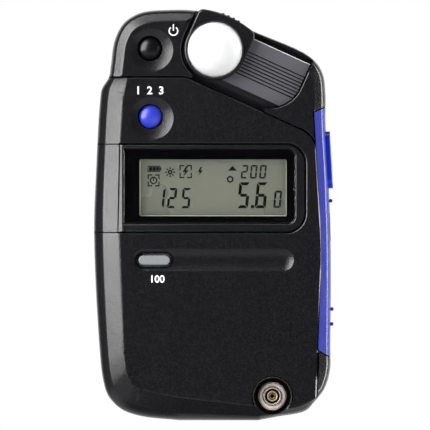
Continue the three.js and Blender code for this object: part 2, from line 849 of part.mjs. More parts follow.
function boardBoss(x, z) {
  return disc(boardBossRadius, faceY + wall - weld, boardY, x, z, smallSides);
}

// The round recess of the sync socket with a chamfered mouth and a hole for its barrel.
function socketPocket() {
  const floorY = faceY + socketFloorDepth;
  const hole = barrelRadius + gap;
  const profile = [
    [0, faceY - overrun],
    [socketRecess + gap, faceY - overrun],
    [socketRecess + gap, faceY + gap],
    [socketRecess, faceY + 2 * gap],
    [socketRecess, floorY],
    [hole, floorY],
    [hole, seamY],
    [0, seamY],
  ];
  return turned(profile, socketX, socketZ);
}

// Display bezel: a band of the front cover's own form that carries the window
function bezelFrame() {
  const band = common(coverLoft(0, seamY), prism(displayShape(0), faceY - overrun, seamY));
  const hollow = coverLoft(bezelThickness, seamY + overrun);
  return cut(
    band,
    hollow,
    prism(windowShape(gap / 2), faceY - overrun, faceY + windowSink + windowThickness),
    prism(windowShape(-windowLedge), faceY, seamY),
  );
}

// Head housing: power key block, slide bed and right shoulder in one moulding
function headHousing() {
  const lower = prism(coverShape(gap), faceY - overrun, seamY + overrun);
  const flank = joined(
    prism(sideShape(0, -overrun / 2, wingTopZ + gap, 0), faceY - overrun, seamY + overrun),
    prism(sideShape(-wall - 2 * gap, -overrun / 2, wingTopZ + gap, 0), faceY + lipDepth, seamY + overrun),
  );
  const inner = prism(coverShape(gap + lipWidth), faceY - overrun, faceY + bedDepth + lipDepth);
  const hollow = cut(headLoft(wall, seamY + overrun), inner, pocketBacking());
  const shell = cut(headLoft(0, seamY), lower, hollow);
  const bedBlock = common(headLoft(0, seamY), slidePrism(recessShape(wall), faceY, bedBackY));
  const guideBlock = common(
    headLoft(0, seamY),
    slideRail(
      [
        [guideInner - guideUndercut - wall, bedDepth],
        [headEdge + overrun, bedDepth],
        [headEdge + overrun, bedDepth + guideDepth + guideFloor],
        [guideInner - guideUndercut - wall, bedDepth + guideDepth + guideFloor],
      ],
      -recessRadius - wall,
      slideTravel + recessRadius + wall,
    ),
  );
  const bosses = common(
    headLoft(0, seamY),
    joined(collar(powerX, powerZ), ...headScrews.map(([x, z]) => screwBoss(x, z))),
  );
  return cut(
    joined(shell, bedBlock, guideBlock, bosses),
    lower,
    cut(slidePrism(recessShape(0), faceY - overrun, bedY + bedFacetDrop + overrun), bedSolid()),
    flank,
    guideSlot(),
    ...bedGrooves(),
    disc(lensTubeRadius + gap / 2, bedY - overrun, seamY, domeX, domeZ),
    dish(powerX, powerZ),
    disc(buttonHole, faceY - overrun, seamY, powerX, powerZ),
    sidePocket(),
    ...headScrews.map(([x, z]) => screwHole(x, z)),
  );
}

// The recess that the carriage sweeps, down to the front cover's slanted edge.
function recessShape(grow) {
  const radius = recessRadius + grow;
  const low = -slantOffset - overrun;
  const top = headEdge + overrun;
  const shape = new THREE.Shape();
  shape.moveTo(-radius, top);
  shape.lineTo(-radius, 0);
  shape.absarc(0, 0, radius, Math.PI, 1.5 * Math.PI - recessFootAngle, false);
  shape.lineTo(-radius * Math.sin(recessFootAngle), low);
  shape.lineTo(slideTravel + radius * Math.sin(recessFootAngle), low);
  shape.absarc(slideTravel, 0, radius, recessFootAngle - Math.PI / 2, 0, false);
  shape.lineTo(slideTravel + radius, top);
  shape.closePath();
  return shape;
}

// What stays standing inside the recess: the bed, its sloping facet and the low rim at the top.
function bedSolid() {
  const bottom = bedDepth + guideDepth + overrun;
  return slideRail(
    [
      [-slantOffset - 2 * overrun, bottom],
      [-slantOffset - 2 * overrun, bedDepth + bedFacetDrop],
      [-slantOffset, bedDepth + bedFacetDrop],
      [-bedLowerEdge, bedDepth],
      [guideInner, bedDepth],
      [guideInner, bedDepth + rimDrop],
      [headEdge + 2 * overrun, bedDepth + rimDrop],
      [headEdge + 2 * overrun, bottom],
    ],
    -2 * recessRadius,
    slideTravel + 2 * recessRadius,
  );
}

// The guide's slot, with an undercut under the bed that holds the carriage's foot.
function guideSlot() {
  const floor = bedDepth + guideDepth;
  return slideRail(
    [
      [guideInner, bedDepth - overrun],
      [guideOuter, bedDepth - overrun],
      [guideOuter, floor],
      [guideInner - guideUndercut, floor],
      [guideInner - guideUndercut, floor - guideFootHeight],
      [guideInner, floor - guideFootHeight],
    ],
    -recessRadius,
    slideTravel + recessRadius,
  );
}

function bedGrooves() {
  const first = (-(bedGrooveCount - 1) * bedGroovePitch) / 2;
  return Array.from({ length: bedGrooveCount }, (_, i) => {
    const v = first + i * bedGroovePitch;
    return slideRail(
      [
        [v - bedGrooveWidth / 2, bedDepth],
        [v - bedGrooveWidth / 2, bedDepth - bedGrooveDepth],
        [v + bedGrooveWidth / 2, bedDepth - bedGrooveDepth],
        [v + bedGrooveWidth / 2, bedDepth],
        [v, bedDepth + bedGrooveDepth],
      ],
      lensTubeRadius + wall,
      slideTravel + recessRadius,
    );
  });
}

// Rear case: the back shell, with a wing that comes forward along the right side
function rearCase() {
  const wing = cut(
    common(
      headLoft(0, seamY + wall),
      prism(sideShape(gap, -overrun / 2, wingTopZ, 0), faceY - overrun, seamY + overrun),
    ),
    prism(coverShape(gap), faceY - overrun, seamY + overrun),
  );
  const hollow = cut(backLoft(wall, seamY - overrun), pocketBacking());
  const shell = cut(joined(backLoft(0, seamY), wing), hollow);
  const inside = backLoft(0, seamY);
  const bay = joined(
    common(
      rodAcross(bayRadius + bayWall, bayLeftX - bayWall, bayEndX, cellY, cellZ, roundSides),
      clearOfBevel(wall + gap),
    ),
    common(
      inside,
      block(bayLeftX - bayWall, bayEndX, cellY, backY,
        cellZ - bayRadius - bayWall, cellZ + bayRadius + bayWall),
    ),
  );
  const wingFloor = common(
    pocketBacking(),
    bodyLoft(0),
    block(0, bodyWidth, faceY + lipDepth + gap, seamY + wall, -overrun, wingTopZ),
  );
  const railHalf = lidHalfHeight + lidRail + gap + bayWall;
  const ledge = common(
    inside,
    block(-bodyWidth, lidRightX + wall, lidY - bayWall, backY, cellZ - railHalf, cellZ + railHalf),
  );
  const tubes = [...headScrews, ...coverScrews].map(([x, z]) =>
    disc(bossRadius, seamY, backY - wall / 2, x, z, smallSides));
  const strapBlock = common(
    inside,
    block(-bodyWidth, strapInnerX + wall, strapFrontY - wall, strapBackY + wall,
      strapZ - strapRecessLength / 2 - wall, strapZ + strapRecessLength / 2 + wall),
  );
  return cut(
    joined(shell, wingFloor, bay, ledge, strapBlock, rockerBlock(), ...tubes),
    bayPocket(),
    lidChannel(),
    strapRecess(),
    sidePocket(),
    sidePrism(measureShape(gap), 0, bodyWidth),
    sidePrism(rockerShape(gap), 0, bodyWidth),
    rockerPinBore(),
    ...[...headScrews, ...coverScrews].flatMap(([x, z]) => [screwHole(x, z), screwSeat(x, z)]),
  );
}

function screwSeat(x, z) {
  const seatY = backY - screwHeadHeight - gap;
  return disc(screwHeadRadius + gap, seatY, backY + overrun, x, z, smallSides);
}

// All that lies inside the front cover's bevelled left side by a margin.
function clearOfBevel(margin) {
  return joined(coverLoft(margin, backY), block(0, bodyWidth, faceY, backY, 0, bodyHeight));
}

// Battery bay, open to the back
function bayPocket() {
  return joined(
    common(
      rodAcross(bayRadius, bayLeftX, bayRightX, cellY, cellZ, roundSides),
      clearOfBevel(wall + gap + bayWall),
    ),
    block(bayLeftX, bayRightX, cellY, backY + overrun, cellZ - bayRadius, cellZ + bayRadius),
  );
}

// The lid's way out to the left: a T-shaped channel, open at the body's side.
function lidChannel() {
  const half = lidHalfHeight + gap;
  const mouth = block(-bodyWidth, lidRightX, lidY - gap, backY + overrun, cellZ - half, cellZ + half);
  const rails = block(-bodyWidth, lidRightX, lidY - gap, railBackY + gap,
    cellZ - half - lidRail, cellZ + half + lidRail);
  return joined(mouth, rails);
}

// Strap eyelet: a recess in the left side near the back, crossed by a steel bar
const strapInnerX = flankX(strapZ, -1) + strapRecessDepth;
const strapFrontY = seamY + wall;
const strapBackY = strapFrontY + strapSlot;

function strapRecess() {
  const half = strapRecessLength / 2;
  return joined(
    block(-bodyWidth, strapInnerX, strapFrontY, strapBackY, strapZ - half, strapZ + half),
    strapBarHole(gap),
  );
}

function strapBarHole(grow) {
  const geometry = new THREE.CylinderGeometry(
    strapBarRadius + grow, strapBarRadius + grow, strapBarLength() + 2 * grow, smallSides);
  geometry.rotateX(Math.PI / 2);
  geometry.translate(strapInnerX - strapRecessDepth / 2, (strapFrontY + strapBackY) / 2, strapZ);
  return solid(geometry);
}

function strapBarLength() {
  return strapRecessLength + wall;
}

// Side cover: the blue skin on the right flank, with small guide pips
function sideCover() {
  const skin = cut(
    common(bodyLoft(0), prism(sideCoverShape(0), faceY - overrun, sideCoverBackY)),
    bodyLoft(sideCoverThickness),
  );
  const pips = pipHeightShares.map((share) => {
    const z = share * bodyHeight;
    const geometry = new THREE.SphereGeometry(pipRadius, cornerSteps * 2, cornerSteps);
    geometry.translate(flankX(z, 1) + pipProud, controlY, z);
    return solid(geometry);
  });
  return cut(
    joined(skin, ...pips),
    sidePrism(measureShape(gap), 0, bodyWidth),
    sidePrism(rockerShape(gap), 0, bodyWidth),
  );
}

// The silhouette's x at a height, on the side whose sign is given.
function flankX(z, side) {
  const next = silhouette.findIndex(([x, bz], i) => {
    const az = i > 0 ? silhouette[i - 1][1] : bz;
    return x * side > 0 && (az - z) * (bz - z) <= 0 && az !== bz;
  });
  const [[ax, az], [bx, bz]] = [silhouette[next - 1], silhouette[next]];
  return ax + ((bx - ax) * (z - az)) / (bz - az);
}

function measureShape(grow) {
  const [half, side] = [measureLength / 2 + grow, measureWidth / 2 + grow];
  return roundedRectangle(controlY - side, controlY + side, measureZ - half, measureZ + half,
    measureCorner + grow);
}

function rockerShape(grow) {
  const [half, side] = [rockerLength / 2 + grow, rockerWidth / 2 + grow];
  return roundedRectangle(controlY - side, controlY + side, rockerZ - half, rockerZ + half, side);
}

// Measuring button: a long blue key in the right flank, with a flange behind the wall
function measureButton() {
  const seat = coverFloor + gap / 2;
  const back = seat + measureFlangeThickness;
  const key = common(sidePrism(measureShape(0), 0, bodyWidth), bodyLoft(-measureProud));
  const flange = common(sidePrism(measureShape(measureFlange), 0, bodyWidth), bodyLoft(seat));
  const stem = block(measureStemX, halfWidth - back, sideSwitchY - plungerRadius,
    sideSwitchY + plungerRadius, measureZ - plungerRadius, measureZ + plungerRadius);
  return joined(cut(joined(key, flange), bodyLoft(back)), stem);
}

// Value rocker: an oblong key that tips up and down on a steel pin
function valueRocker() {
  const plug = common(
    sidePrism(rockerShape(0), rockerInnerX, bodyWidth),
    bodyLoft(-rockerProud),
  );
  return cut(plug, rockerPinRod(rockerPinRadius + gap / 2, rockerWidth + overrun));
}

function rockerPinRod(radius, length) {
  const geometry = new THREE.CylinderGeometry(radius, radius, length, smallSides);
  geometry.translate(rockerPinX, controlY, rockerZ);
  return solid(geometry);
}

function rockerPinBore() {
  return rockerPinRod(rockerPinRadius + gap / 2, rockerPinLength + gap);
}

// Thickens the wall round the rocker so that it can hold the pin.
function rockerBlock() {
  const room = sidePrism(
    roundedRectangle(controlY - rockerPinLength / 2 - rockerBlockWall,
      controlY + rockerPinLength / 2 + rockerBlockWall,
      rockerZ - rockerLength / 2 - wall, rockerZ + rockerLength / 2 + wall, rockerBlockWall),
    rockerInnerX, bodyWidth,
  );
  return common(room, bodyLoft(pocketDepth));
}

// Battery lid: slides out to the left on two rails, with grip grooves for the thumb
function batteryLid() {
  const plate = block(-bodyWidth, lidRightX - gap, lidY, backY + overrun,
    cellZ - lidHalfHeight, cellZ + lidHalfHeight);
  const railHalf = lidHalfHeight + lidRail;
  const rails = block(-bodyWidth, lidRightX - gap, lidY, railBackY, cellZ - railHalf, cellZ + railHalf);
  const grips = Array.from({ length: lidGripCount }, (_, i) => {
    const x = lidGripX + i * lidGripPitch;
    return block(x, x + lidGripWidth, backY - lidGripDepth, backY + overrun,
      cellZ - lidHalfHeight / 2, cellZ + lidHalfHeight / 2);
  });
  return cut(common(backLoft(0, seamY), joined(plate, rails)), ...grips);
}

// Slider carriage: the plate that carries the dome, with an L-shaped tongue in the guide
function sliderCarriage() {
  const frontY = faceY + carriageSink;
  const backFaceY = bedY - gap;
  const body = slidePrism(carriageShape(0), frontY + carriageEdgeBevel, backFaceY);
  const crown = slidePrism(carriageShape(-carriageEdgeBevel), frontY, backFaceY);
  const tongueFront = backFaceY - faceY - weld;
  const foot = bedDepth + guideDepth - gap;
  const tongue = slideRail(
    [
      [guideInner + gap, tongueFront],
      [guideOuter - gap, tongueFront],
      [guideOuter - gap, foot],
      [guideInner - guideUndercut + gap, foot],
      [guideInner - guideUndercut + gap, foot + 2 * gap - guideFootHeight],
      [guideInner + gap, foot + 2 * gap - guideFootHeight],
    ],
    -tongueLength / 2,
    tongueLength / 2,
  );
  const ridges = Array.from({ length: gripRidgeCount }, (_, i) => {
    const u = gripRidgeStart + i * gripRidgePitch;
    return slideRail(
      [
        [carriageReach - 2 * gripRidgeRadius, carriageSink + carriageEdgeBevel],
        [topReach(u) + gripRidgeProud, carriageSink + 2 * carriageEdgeBevel],
        [topReach(u) + gripRidgeProud, bedDepth - 2 * gap],
        [carriageReach - 2 * gripRidgeRadius, bedDepth - gap],
      ],
      u - gripRidgeRadius,
      u + gripRidgeRadius,
    );
  });
  const flange = domeRadius + domeFlange + gap / 2;
  const bore = turned(
    [
      [0, frontY - overrun],
      [domeRadius + gap / 2, frontY - overrun],
      [domeRadius + gap / 2, domeSeatY],
      [flange, domeSeatY],
      [flange, bedY],
      [0, bedY],
    ],
    domeX,
    domeZ,
  );
  return cut(joined(body, crown, tongue, ...ridges), bore);
}

// How far the carriage's arched top edge reaches across the slide at a place along it.
function topReach(u) {
  return carriageReach - (carriageReach - carriageEndReach) * (u / carriageHalfWidth) ** 2;
}

// The carriage's outline in the slide frame: a half round below and an arched top edge.
function carriageShape(grow) {
  const half = carriageHalfWidth + grow;
  const end = carriageEndReach + grow;
  const shoulder = half - carriageCorner;
  const shoulderReach = topReach(shoulder) + grow;
  const crown = 2 * (carriageReach + grow) - shoulderReach;
  const shape = new THREE.Shape();
  shape.moveTo(half, 0);
  shape.lineTo(half, end - carriageCorner);
  shape.quadraticCurveTo(half, end, shoulder, shoulderReach);
  shape.quadraticCurveTo(0, crown, -shoulder, shoulderReach);
  shape.quadraticCurveTo(-half, end, -half, end - carriageCorner);
  shape.lineTo(-half, 0);
  shape.absarc(0, 0, half, Math.PI, 2 * Math.PI, false);
  return shape;
}

// Diffuser dome: a hollow white half shell with a flange behind the carriage's bore
function diffuserDome() {
  const baseY = domeSeatY + domeFlangeThickness;
  const flange = domeRadius + domeFlange;
  const inner = domeRadius - domeWall;
  const outerArc = arc(domeRadius, domeHeight, domeSeatY, domeSteps);
  const innerArc = arc(inner, domeHeight - domeWall, domeSeatY, domeSteps).reverse();
  return turned([...outerArc, [flange, domeSeatY], [flange, baseY], [inner, baseY], ...innerArc],
    domeX, domeZ);
}

// A quarter of an ellipse from the axis at the front to its full radius at y.
function arc(radius, height, y, steps) {
  return Array.from({ length: steps + 1 }, (_, i) => {
    const angle = (i / steps) * (Math.PI / 2);
    return [radius * Math.sin(angle), y - height * Math.cos(angle)];
  });
}

function domeRing() {
  const frontY = domeSeatY + domeFlangeThickness;
  const outer = domeRadius + domeFlange;
  const inner = outer - domeRingWidth;
  const backEnd = frontY + domeRingThickness;
  return turned([[inner, frontY], [outer, frontY], [outer, backEnd], [inner, backEnd], [inner, frontY]],
    domeX, domeZ);
}

// A round front key: crowned cap, flange behind the collar and a stem towards its switch
function roundKey() {
  const top = faceY + buttonSink;
  const flangeY = collarBackY + gap / 2;
  const flangeEnd = flangeY + buttonFlangeThickness;
  return turned([
    [0, top],
    [buttonRadius / 2, top + buttonCrown / 4],
    [buttonRadius - buttonCrown, top + buttonCrown],
    [buttonRadius, top + 2 * buttonCrown],
    [buttonRadius, flangeY],
    [flangeRadius, flangeY],
    [flangeRadius, flangeEnd],
    [stemRadius, flangeEnd],
    [stemRadius, stemEndY],
    [0, stemEndY],
  ], 0, 0);
}

function speedKey() {
  const top = faceY + grooveDepth - speedProud;
  const flangeY = collarBackY + gap / 2;
  const flangeEnd = flangeY + buttonFlangeThickness;
  return joined(
    prism(speedKeyShape(-buttonCrown), top, flangeEnd),
    prism(speedKeyShape(0), top + buttonCrown, flangeEnd),
    prism(speedKeyShape(buttonFlange), flangeY, flangeEnd),
    disc(stemRadius, flangeEnd, stemEndY, speedX, speedZ, smallSides),
  );
}

// Display: window, glass panel, tray and the two contact strips that reach the board
function displayWindow() {
  return prism(windowShape(0), faceY + windowSink, faceY + windowSink + windowThickness);
}

function glassBlock(grow, fromY, toY) {
  return block(
    glassCentreX - glassWidth / 2 - grow, glassCentreX + glassWidth / 2 + grow, fromY, toY,
    glassCentreZ - glassHeight / 2 - grow, glassCentreZ + glassHeight / 2 + grow,
  );
}

function stripBlock(side, grow, fromY, toY) {
  const z = glassCentreZ + side * (glassHeight / 2 - zebraInset - zebraWidth / 2);
  return block(
    glassCentreX - glassWidth / 2 + zebraInset - grow, glassCentreX + glassWidth / 2 - zebraInset + grow,
    fromY, toY, z - zebraWidth / 2 - grow, z + zebraWidth / 2 + grow,
  );
}

function displayTray() {
  const floorY = glassBackY + trayFloor;
  return cut(
    glassBlock(gap + trayWall, glassFrontY, boardY),
    glassBlock(gap, glassFrontY - overrun, glassBackY),
    glassBlock(gap - trayWall, floorY, boardY + overrun),
    stripBlock(1, gap, glassFrontY, boardY + overrun),
    stripBlock(-1, gap, glassFrontY, boardY + overrun),
  );
}

// Electronics
function mainBoard() {
  const outline = polygon(
    boardShares.map(([x, z]) => [x * halfWidth, boardBottomZ + z * (bodyHeight - boardBottomZ)]),
  );
  const hole = screwShankRadius + gap;
  return cut(
    prism(outline, boardY, boardBackY),
    ...boardScrews.map(([x, z]) => disc(hole, boardY - overrun, boardBackY + overrun, x, z, smallSides)),
  );
}

function frontSwitch() {
  const half = switchSize / 2;
  return joined(
    block(-half, half, boardY - switchHeight, boardY, -half, half),
    disc(plungerRadius, plungerTipY, boardY - switchHeight + plungerHeight, 0, 0, smallSides),
  );
}

// Stands on the board's right edge and is pressed from the side.
function sideSwitch(tipX) {
  const bodyX = tipX - plungerHeight;
  return joined(
    block(bodyX - sideSwitchDepth, bodyX, boardY - sideSwitchHeight, boardY,
      -sideSwitchWidth / 2, sideSwitchWidth / 2),
    rodAcross(plungerRadius, bodyX - plungerHeight, tipX, sideSwitchY, 0, smallSides),
  );
}

function processor() {
  return block(-chipSize / 2, chipSize / 2, boardBackY, boardBackY + chipHeight, -chipSize / 2, chipSize / 2);
}

function lensTube() {
  const [outer, inner] = [lensTubeRadius, lensTubeRadius - lensTubeWall];
  const frontY = bedY + gap;
  return turned([[inner, frontY], [outer, frontY], [outer, boardY], [inner, boardY], [inner, frontY]],
    domeX, domeZ);
}

function reflectedLens() {
  const backFace = bedY + gap + lensCrown + lensThickness;
  const crown = arc(lensRadius, lensCrown, bedY + gap + lensCrown, lensSteps);
  return turned([...crown, [lensRadius, backFace], [0, backFace]], domeX, domeZ);
}

function photodiode() {
  const half = diodeSize / 2;
  return block(domeX - half, domeX + half, boardY - diodeHeight, boardY, domeZ - half, domeZ + half);
}

// Battery and its contacts
function batteryCell() {
  const [left, right] = [cellX - cellLength / 2, cellX + cellLength / 2];
  const shoulder = cellRadius - gap;
  return turnedAcross([
    [0, left],
    [shoulder, left],
    [cellRadius, left + gap],
    [cellRadius, right - gap],
    [shoulder, right],
    [nubRadius, right],
    [nubRadius, right + nubLength],
    [0, right + nubLength],
  ], cellY, cellZ, roundSides);
}

function contactPlate(fromX) {
  const half = contactHeight / 2;
  return block(fromX, fromX + contactThickness, cellY - half, cellY + half, cellZ - half, cellZ + half);
}

// The negative contact winds inwards as it rises, so that its curls nest when it is pressed flat.
class ConicalCoil extends THREE.Curve {
  getPoint(share) {
    const radius = springRadius + (springTopRadius - springRadius) * share;
    const angle = share * springCurls * 2 * Math.PI;
    const rise = springWire / 2 + (springLength - springWire) * share;
    return new THREE.Vector3(rise, radius * Math.cos(angle), radius * Math.sin(angle));
  }
}

const coilStepsPerCurl = 8;
const coilSides = 5;

function batterySpring() {
  const coil = new ConicalCoil();
  const steps = coilStepsPerCurl * springCurls;
  const section = new THREE.Shape();
  section.absarc(0, 0, springWire / 2, 0, 2 * Math.PI, false);
  const wire = polygon(section.getSpacedPoints(coilSides).slice(0, coilSides).map((p) => [p.x, p.y]));
  const geometry = new THREE.ExtrudeGeometry(wire, { steps, bevelEnabled: false, extrudePath: coil });
  geometry.translate(springX, cellY, cellZ);
  console.log("battery spring's least gap to itself", leastCoilGap(coil, steps).toFixed(2), "mm");
  return solid(geometry);
}

// Measured between points of the coil that lie at least half a curl apart.
function leastCoilGap(coil, steps) {
  const points = coil.getPoints(steps);
  const gaps = points.flatMap((p, i) =>
    points.slice(i + coilStepsPerCurl / 2).map((q) => p.distanceTo(q) - springWire));
  return Math.min(...gaps);
}

// Sync socket
function socketBarrel() {
  const frontY = faceY + barrelSink;
  const backEnd = frontY + barrelLength;
  return turned([[barrelBore, frontY + bevelSize], [barrelBore + bevelSize, frontY],
    [barrelRadius, frontY], [barrelRadius, backEnd], [barrelBore, backEnd],
    [barrelBore, frontY + bevelSize]], socketX, socketZ);
}

function socketNut() {
  const floorY = faceY + socketFloorDepth;
  const frontY = floorY - nutThickness;
  const bore = barrelRadius + gap / 2;
  return turned([[bore, frontY], [nutRadius - bevelSize, frontY], [nutRadius, frontY + bevelSize],
    [nutRadius, floorY], [bore, floorY], [bore, frontY]], socketX, socketZ);
}

function socketTube(outer, bore, sink) {
  const frontY = faceY + barrelSink + sink;
  return turned([[bore, frontY], [outer, frontY], [outer, insulatorY], [bore, insulatorY],
    [bore, frontY]], socketX, socketZ, smallSides);
}

function socketInsulator() {
  return disc(barrelBore - gap / 2, insulatorY, faceY + barrelSink + barrelLength, socketX, socketZ);
}

// Fasteners: the axis runs along Y with the head at the back
function screw(headRadius, headHeight, length) {
  const body = turned([
    [0, -length],
    [screwShankRadius, -length + screwShankRadius],
    [screwShankRadius, 0],
    [headRadius, 0],
    [headRadius, headHeight - bevelSize],
    [headRadius - bevelSize, headHeight],
    [0, headHeight],
  ], 0, 0, smallSides);
  const [reach, half] = [headRadius * screwCrossShare, screwSlot / 2];
  const slots = [
    block(-reach, reach, headHeight / 2, headHeight + overrun, -half, half),
    block(-half, half, headHeight / 2, headHeight + overrun, -reach, reach),
  ];
  return cut(body, ...slots);
}

// Assembly
const meter = new THREE.Group();
meter.name = "light_meter";
meter.add(
  piece("front_cover", frontCover(), mouldedBlack),
  piece("bezel_frame", bezelFrame(), mouldedBlack),
  piece("head_housing", headHousing(), mouldedBlack),
  piece("rear_case", rearCase(), mouldedBlack),
  piece("side_cover", sideCover(), brightBlue),
  piece("battery_cover", batteryLid(), mouldedBlack),
  piece("strap_bar", strapBarHole(0), steel),
);

const slider = new THREE.Group();
slider.add(
  piece("slider_carriage", sliderCarriage(), mouldedBlack),
  piece("diffuser_dome", diffuserDome(), milkWhite),
  piece("dome_ring", domeRing(), mouldedBlack),
);
meter.add(slider);

const keys = new THREE.Group();
keys.add(
  placed(piece("power_button", roundKey(), glossBlack), powerX, 0, powerZ),
  placed(piece("mode_button", roundKey(), brightBlue), modeX, 0, modeZ),
  piece("film_speed_button", speedKey(), greyKey),
  piece("measure_button", measureButton(), deepBlue),
  piece("value_rocker", valueRocker(), mouldedBlack),
  piece("rocker_pin", rockerPinRod(rockerPinRadius, rockerPinLength), steel),
);
meter.add(keys);

const display = new THREE.Group();
display.add(
  piece("window_lens", displayWindow(), clearGlass),
  piece("display_panel", glassBlock(0, glassFrontY, glassBackY), displayGrey),
  piece("display_tray", displayTray(), milkWhite),
  piece("upper_contact_strip", stripBlock(1, 0, glassBackY, boardY), stripGrey),
  piece("lower_contact_strip", stripBlock(-1, 0, glassBackY, boardY), stripGrey),
);
meter.add(display);

const electronics = new THREE.Group();
electronics.add(
  piece("main_board", mainBoard(), boardGreen),
  placed(piece("processor", processor(), chipBlack), chipX, 0, chipZ),
  placed(piece("power_switch", frontSwitch(), steel), powerX, 0, powerZ),
  placed(piece("mode_switch", frontSwitch(), steel), modeX, 0, modeZ),
  placed(piece("film_speed_switch", frontSwitch(), steel), speedX, 0, speedZ),
  placed(piece("measure_switch", sideSwitch(measureStemX - sideSwitchPlay), steel), 0, 0, measureZ),
  placed(piece("up_switch", sideSwitch(rockerSwitchX), steel), 0, 0, rockerZ + rockerSwitchOffset),
  placed(piece("down_switch", sideSwitch(rockerSwitchX), steel), 0, 0, rockerZ - rockerSwitchOffset),
  piece("lens_tube", lensTube(), mouldedBlack),
  piece("reflected_lens", reflectedLens(), clearGlass),
  piece("photodiode", photodiode(), chipBlack),
);
meter.add(electronics);

const power = new THREE.Group();
power.add(
  piece("battery_cell", batteryCell(), steel),
  piece("battery_spring", batterySpring(), nickel),
  piece("spring_plate", contactPlate(springX - contactThickness), nickel),
  piece("positive_contact", contactPlate(bayRightX - gap - contactThickness), nickel),
);
meter.add(power);

const socket = new THREE.Group();
socket.add(
  piece("sync_socket_barrel", socketBarrel(), nickel),
  piece("sync_socket_nut", socketNut(), nickel),
  piece("sync_socket_sleeve", socketTube(sleeveRadius, sleeveBore, 2 * gap), nickel),
  piece("sync_socket_contact", socketTube(contactRadius, contactBore, gap), gold),
  piece("sync_socket_insulator", socketInsulator(), milkWhite),
);
meter.add(socket);

const caseScrew = screw(screwHeadRadius, screwHeadHeight, screwLength);
const boardScrew = screw(boardScrewHead, boardScrewHeadHeight, boardScrewLength);
[...headScrews, ...coverScrews].forEach(([x, z], i) => {
  meter.add(placed(piece(`case_screw_${i + 1}`, caseScrew, steel), x, backY - screwHeadHeight - gap, z));
});
boardScrews.forEach(([x, z], i) => {
  meter.add(placed(piece(`board_screw_${i + 1}`, boardScrew, steel), x, boardBackY, z));
});

export default meter;
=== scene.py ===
import math

import bmesh
import bpy
from mathutils import Matrix, Vector


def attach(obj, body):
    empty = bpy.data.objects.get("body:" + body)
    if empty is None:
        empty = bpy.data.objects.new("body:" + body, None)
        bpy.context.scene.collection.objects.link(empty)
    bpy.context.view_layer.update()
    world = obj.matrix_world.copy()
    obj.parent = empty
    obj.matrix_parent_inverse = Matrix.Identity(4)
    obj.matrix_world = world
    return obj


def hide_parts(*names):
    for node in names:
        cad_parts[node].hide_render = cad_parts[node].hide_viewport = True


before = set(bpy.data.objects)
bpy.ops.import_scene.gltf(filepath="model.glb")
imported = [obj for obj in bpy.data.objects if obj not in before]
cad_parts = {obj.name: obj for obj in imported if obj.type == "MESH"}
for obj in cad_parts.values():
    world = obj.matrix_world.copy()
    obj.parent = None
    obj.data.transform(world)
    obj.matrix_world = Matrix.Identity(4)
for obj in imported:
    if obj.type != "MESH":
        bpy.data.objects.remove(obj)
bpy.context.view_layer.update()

# Photograph's frame
# The meter is seen square on from the front, through a long lens, so it shows almost no sides.
# 430 pixels of picture cover 115.1 mm at the body's seam.
MM = 0.001
camera_distance = 1.5
view_width = 115.1 * MM
view_centre = Vector((0.55 * MM, 0, 54.9 * MM))


def placed(name, data):
    """A new object in the scene, which holds the data."""
    made = bpy.data.objects.new(name, data)
    bpy.context.scene.collection.objects.link(made)
    return made


camera_data = bpy.data.cameras.new("camera")
camera = placed("camera", camera_data)
camera_data.sensor_width = 36
camera_data.lens = camera_data.sensor_width * camera_distance / view_width
camera_data.clip_end = 20
camera.location = view_centre + Vector((0, -camera_distance, 0))
camera.rotation_euler = (math.pi / 2, 0, 0)
bpy.context.scene.camera = camera
bpy.context.scene.view_settings.view_transform = "Standard"


# Studio
# Black goods show what they mirror: a white sweep behind, a lit table below with the meter's own
# shadow, and a dim room. A softbox and a small card draw the left bevel, strips edge the right side
# and the top, and a bounce that isn't mirrored fills the colours from the right.
def linear(text):
    """An sRGB hex colour as linear values."""
    parts = [int(text[i : i + 2], 16) / 255 for i in (1, 3, 5)]
    return [c / 12.92 if c <= 0.04045 else ((c + 0.055) / 1.055) ** 2.4 for c in parts] + [1.0]


def add_node(tree, kind, links=(), **settings):
    """Adds a node; inputs are given by settings named in_NAME, and links as (socket, input)."""
    node = tree.nodes.new(kind)
    for name, value in settings.items():
        if name.startswith("in_"):
            node.inputs[name[3:].replace("_", " ")].default_value = value
        else:
            setattr(node, name, value)
    for source, target in links:
        tree.links.new(source, node.inputs[target])
    return node


def remapped(tree, value, old, new=(0.0, 1.0)):
    """A value's socket, taken from one range to another and held inside it."""
    return add_node(
        tree, "ShaderNodeMapRange", [(value, "Value")], in_From_Min=old[0], in_From_Max=old[1],
        in_To_Min=new[0], in_To_Max=new[1]).outputs[0]


def combined(tree, operation, a, b):
    return add_node(tree, "ShaderNodeMath", [(a, 0), (b, 1)], operation=operation).outputs[0]


world = bpy.data.worlds.new("studio")
bpy.context.scene.world = world
world.use_nodes = True
air = world.node_tree
air.nodes.clear()
looking = add_node(air, "ShaderNodeTexCoord").outputs["Generated"]
split = add_node(air, "ShaderNodeSeparateXYZ", [(looking, 0)])
ahead, up = split.outputs["Y"], split.outputs["Z"]
rays = add_node(air, "ShaderNodeLightPath").outputs
sweep = remapped(air, ahead, (0.85, 0.97))
dim_room = remapped(air, ahead, (-0.95, -0.7), (0.012, 0.05))
table = remapped(air, up, (-0.2, -0.6), (0.0, 0.42))
own_shadow = remapped(air, up, (-0.7, -0.88), (1.0, 0.04))
level = combined(air, "ADD", dim_room, combined(air, "MULTIPLY", table, own_shadow))
mirror = combined(air, "MAXIMUM", rays["Is Glossy Ray"], rays["Is Transmission Ray"])
white_share = combined(air, "MAXIMUM", combined(air, "MULTIPLY", mirror, sweep), rays["Is Camera Ray"])
dim = add_node(air, "ShaderNodeBackground", [(level, "Strength")], in_Color=linear("#ffffff"))
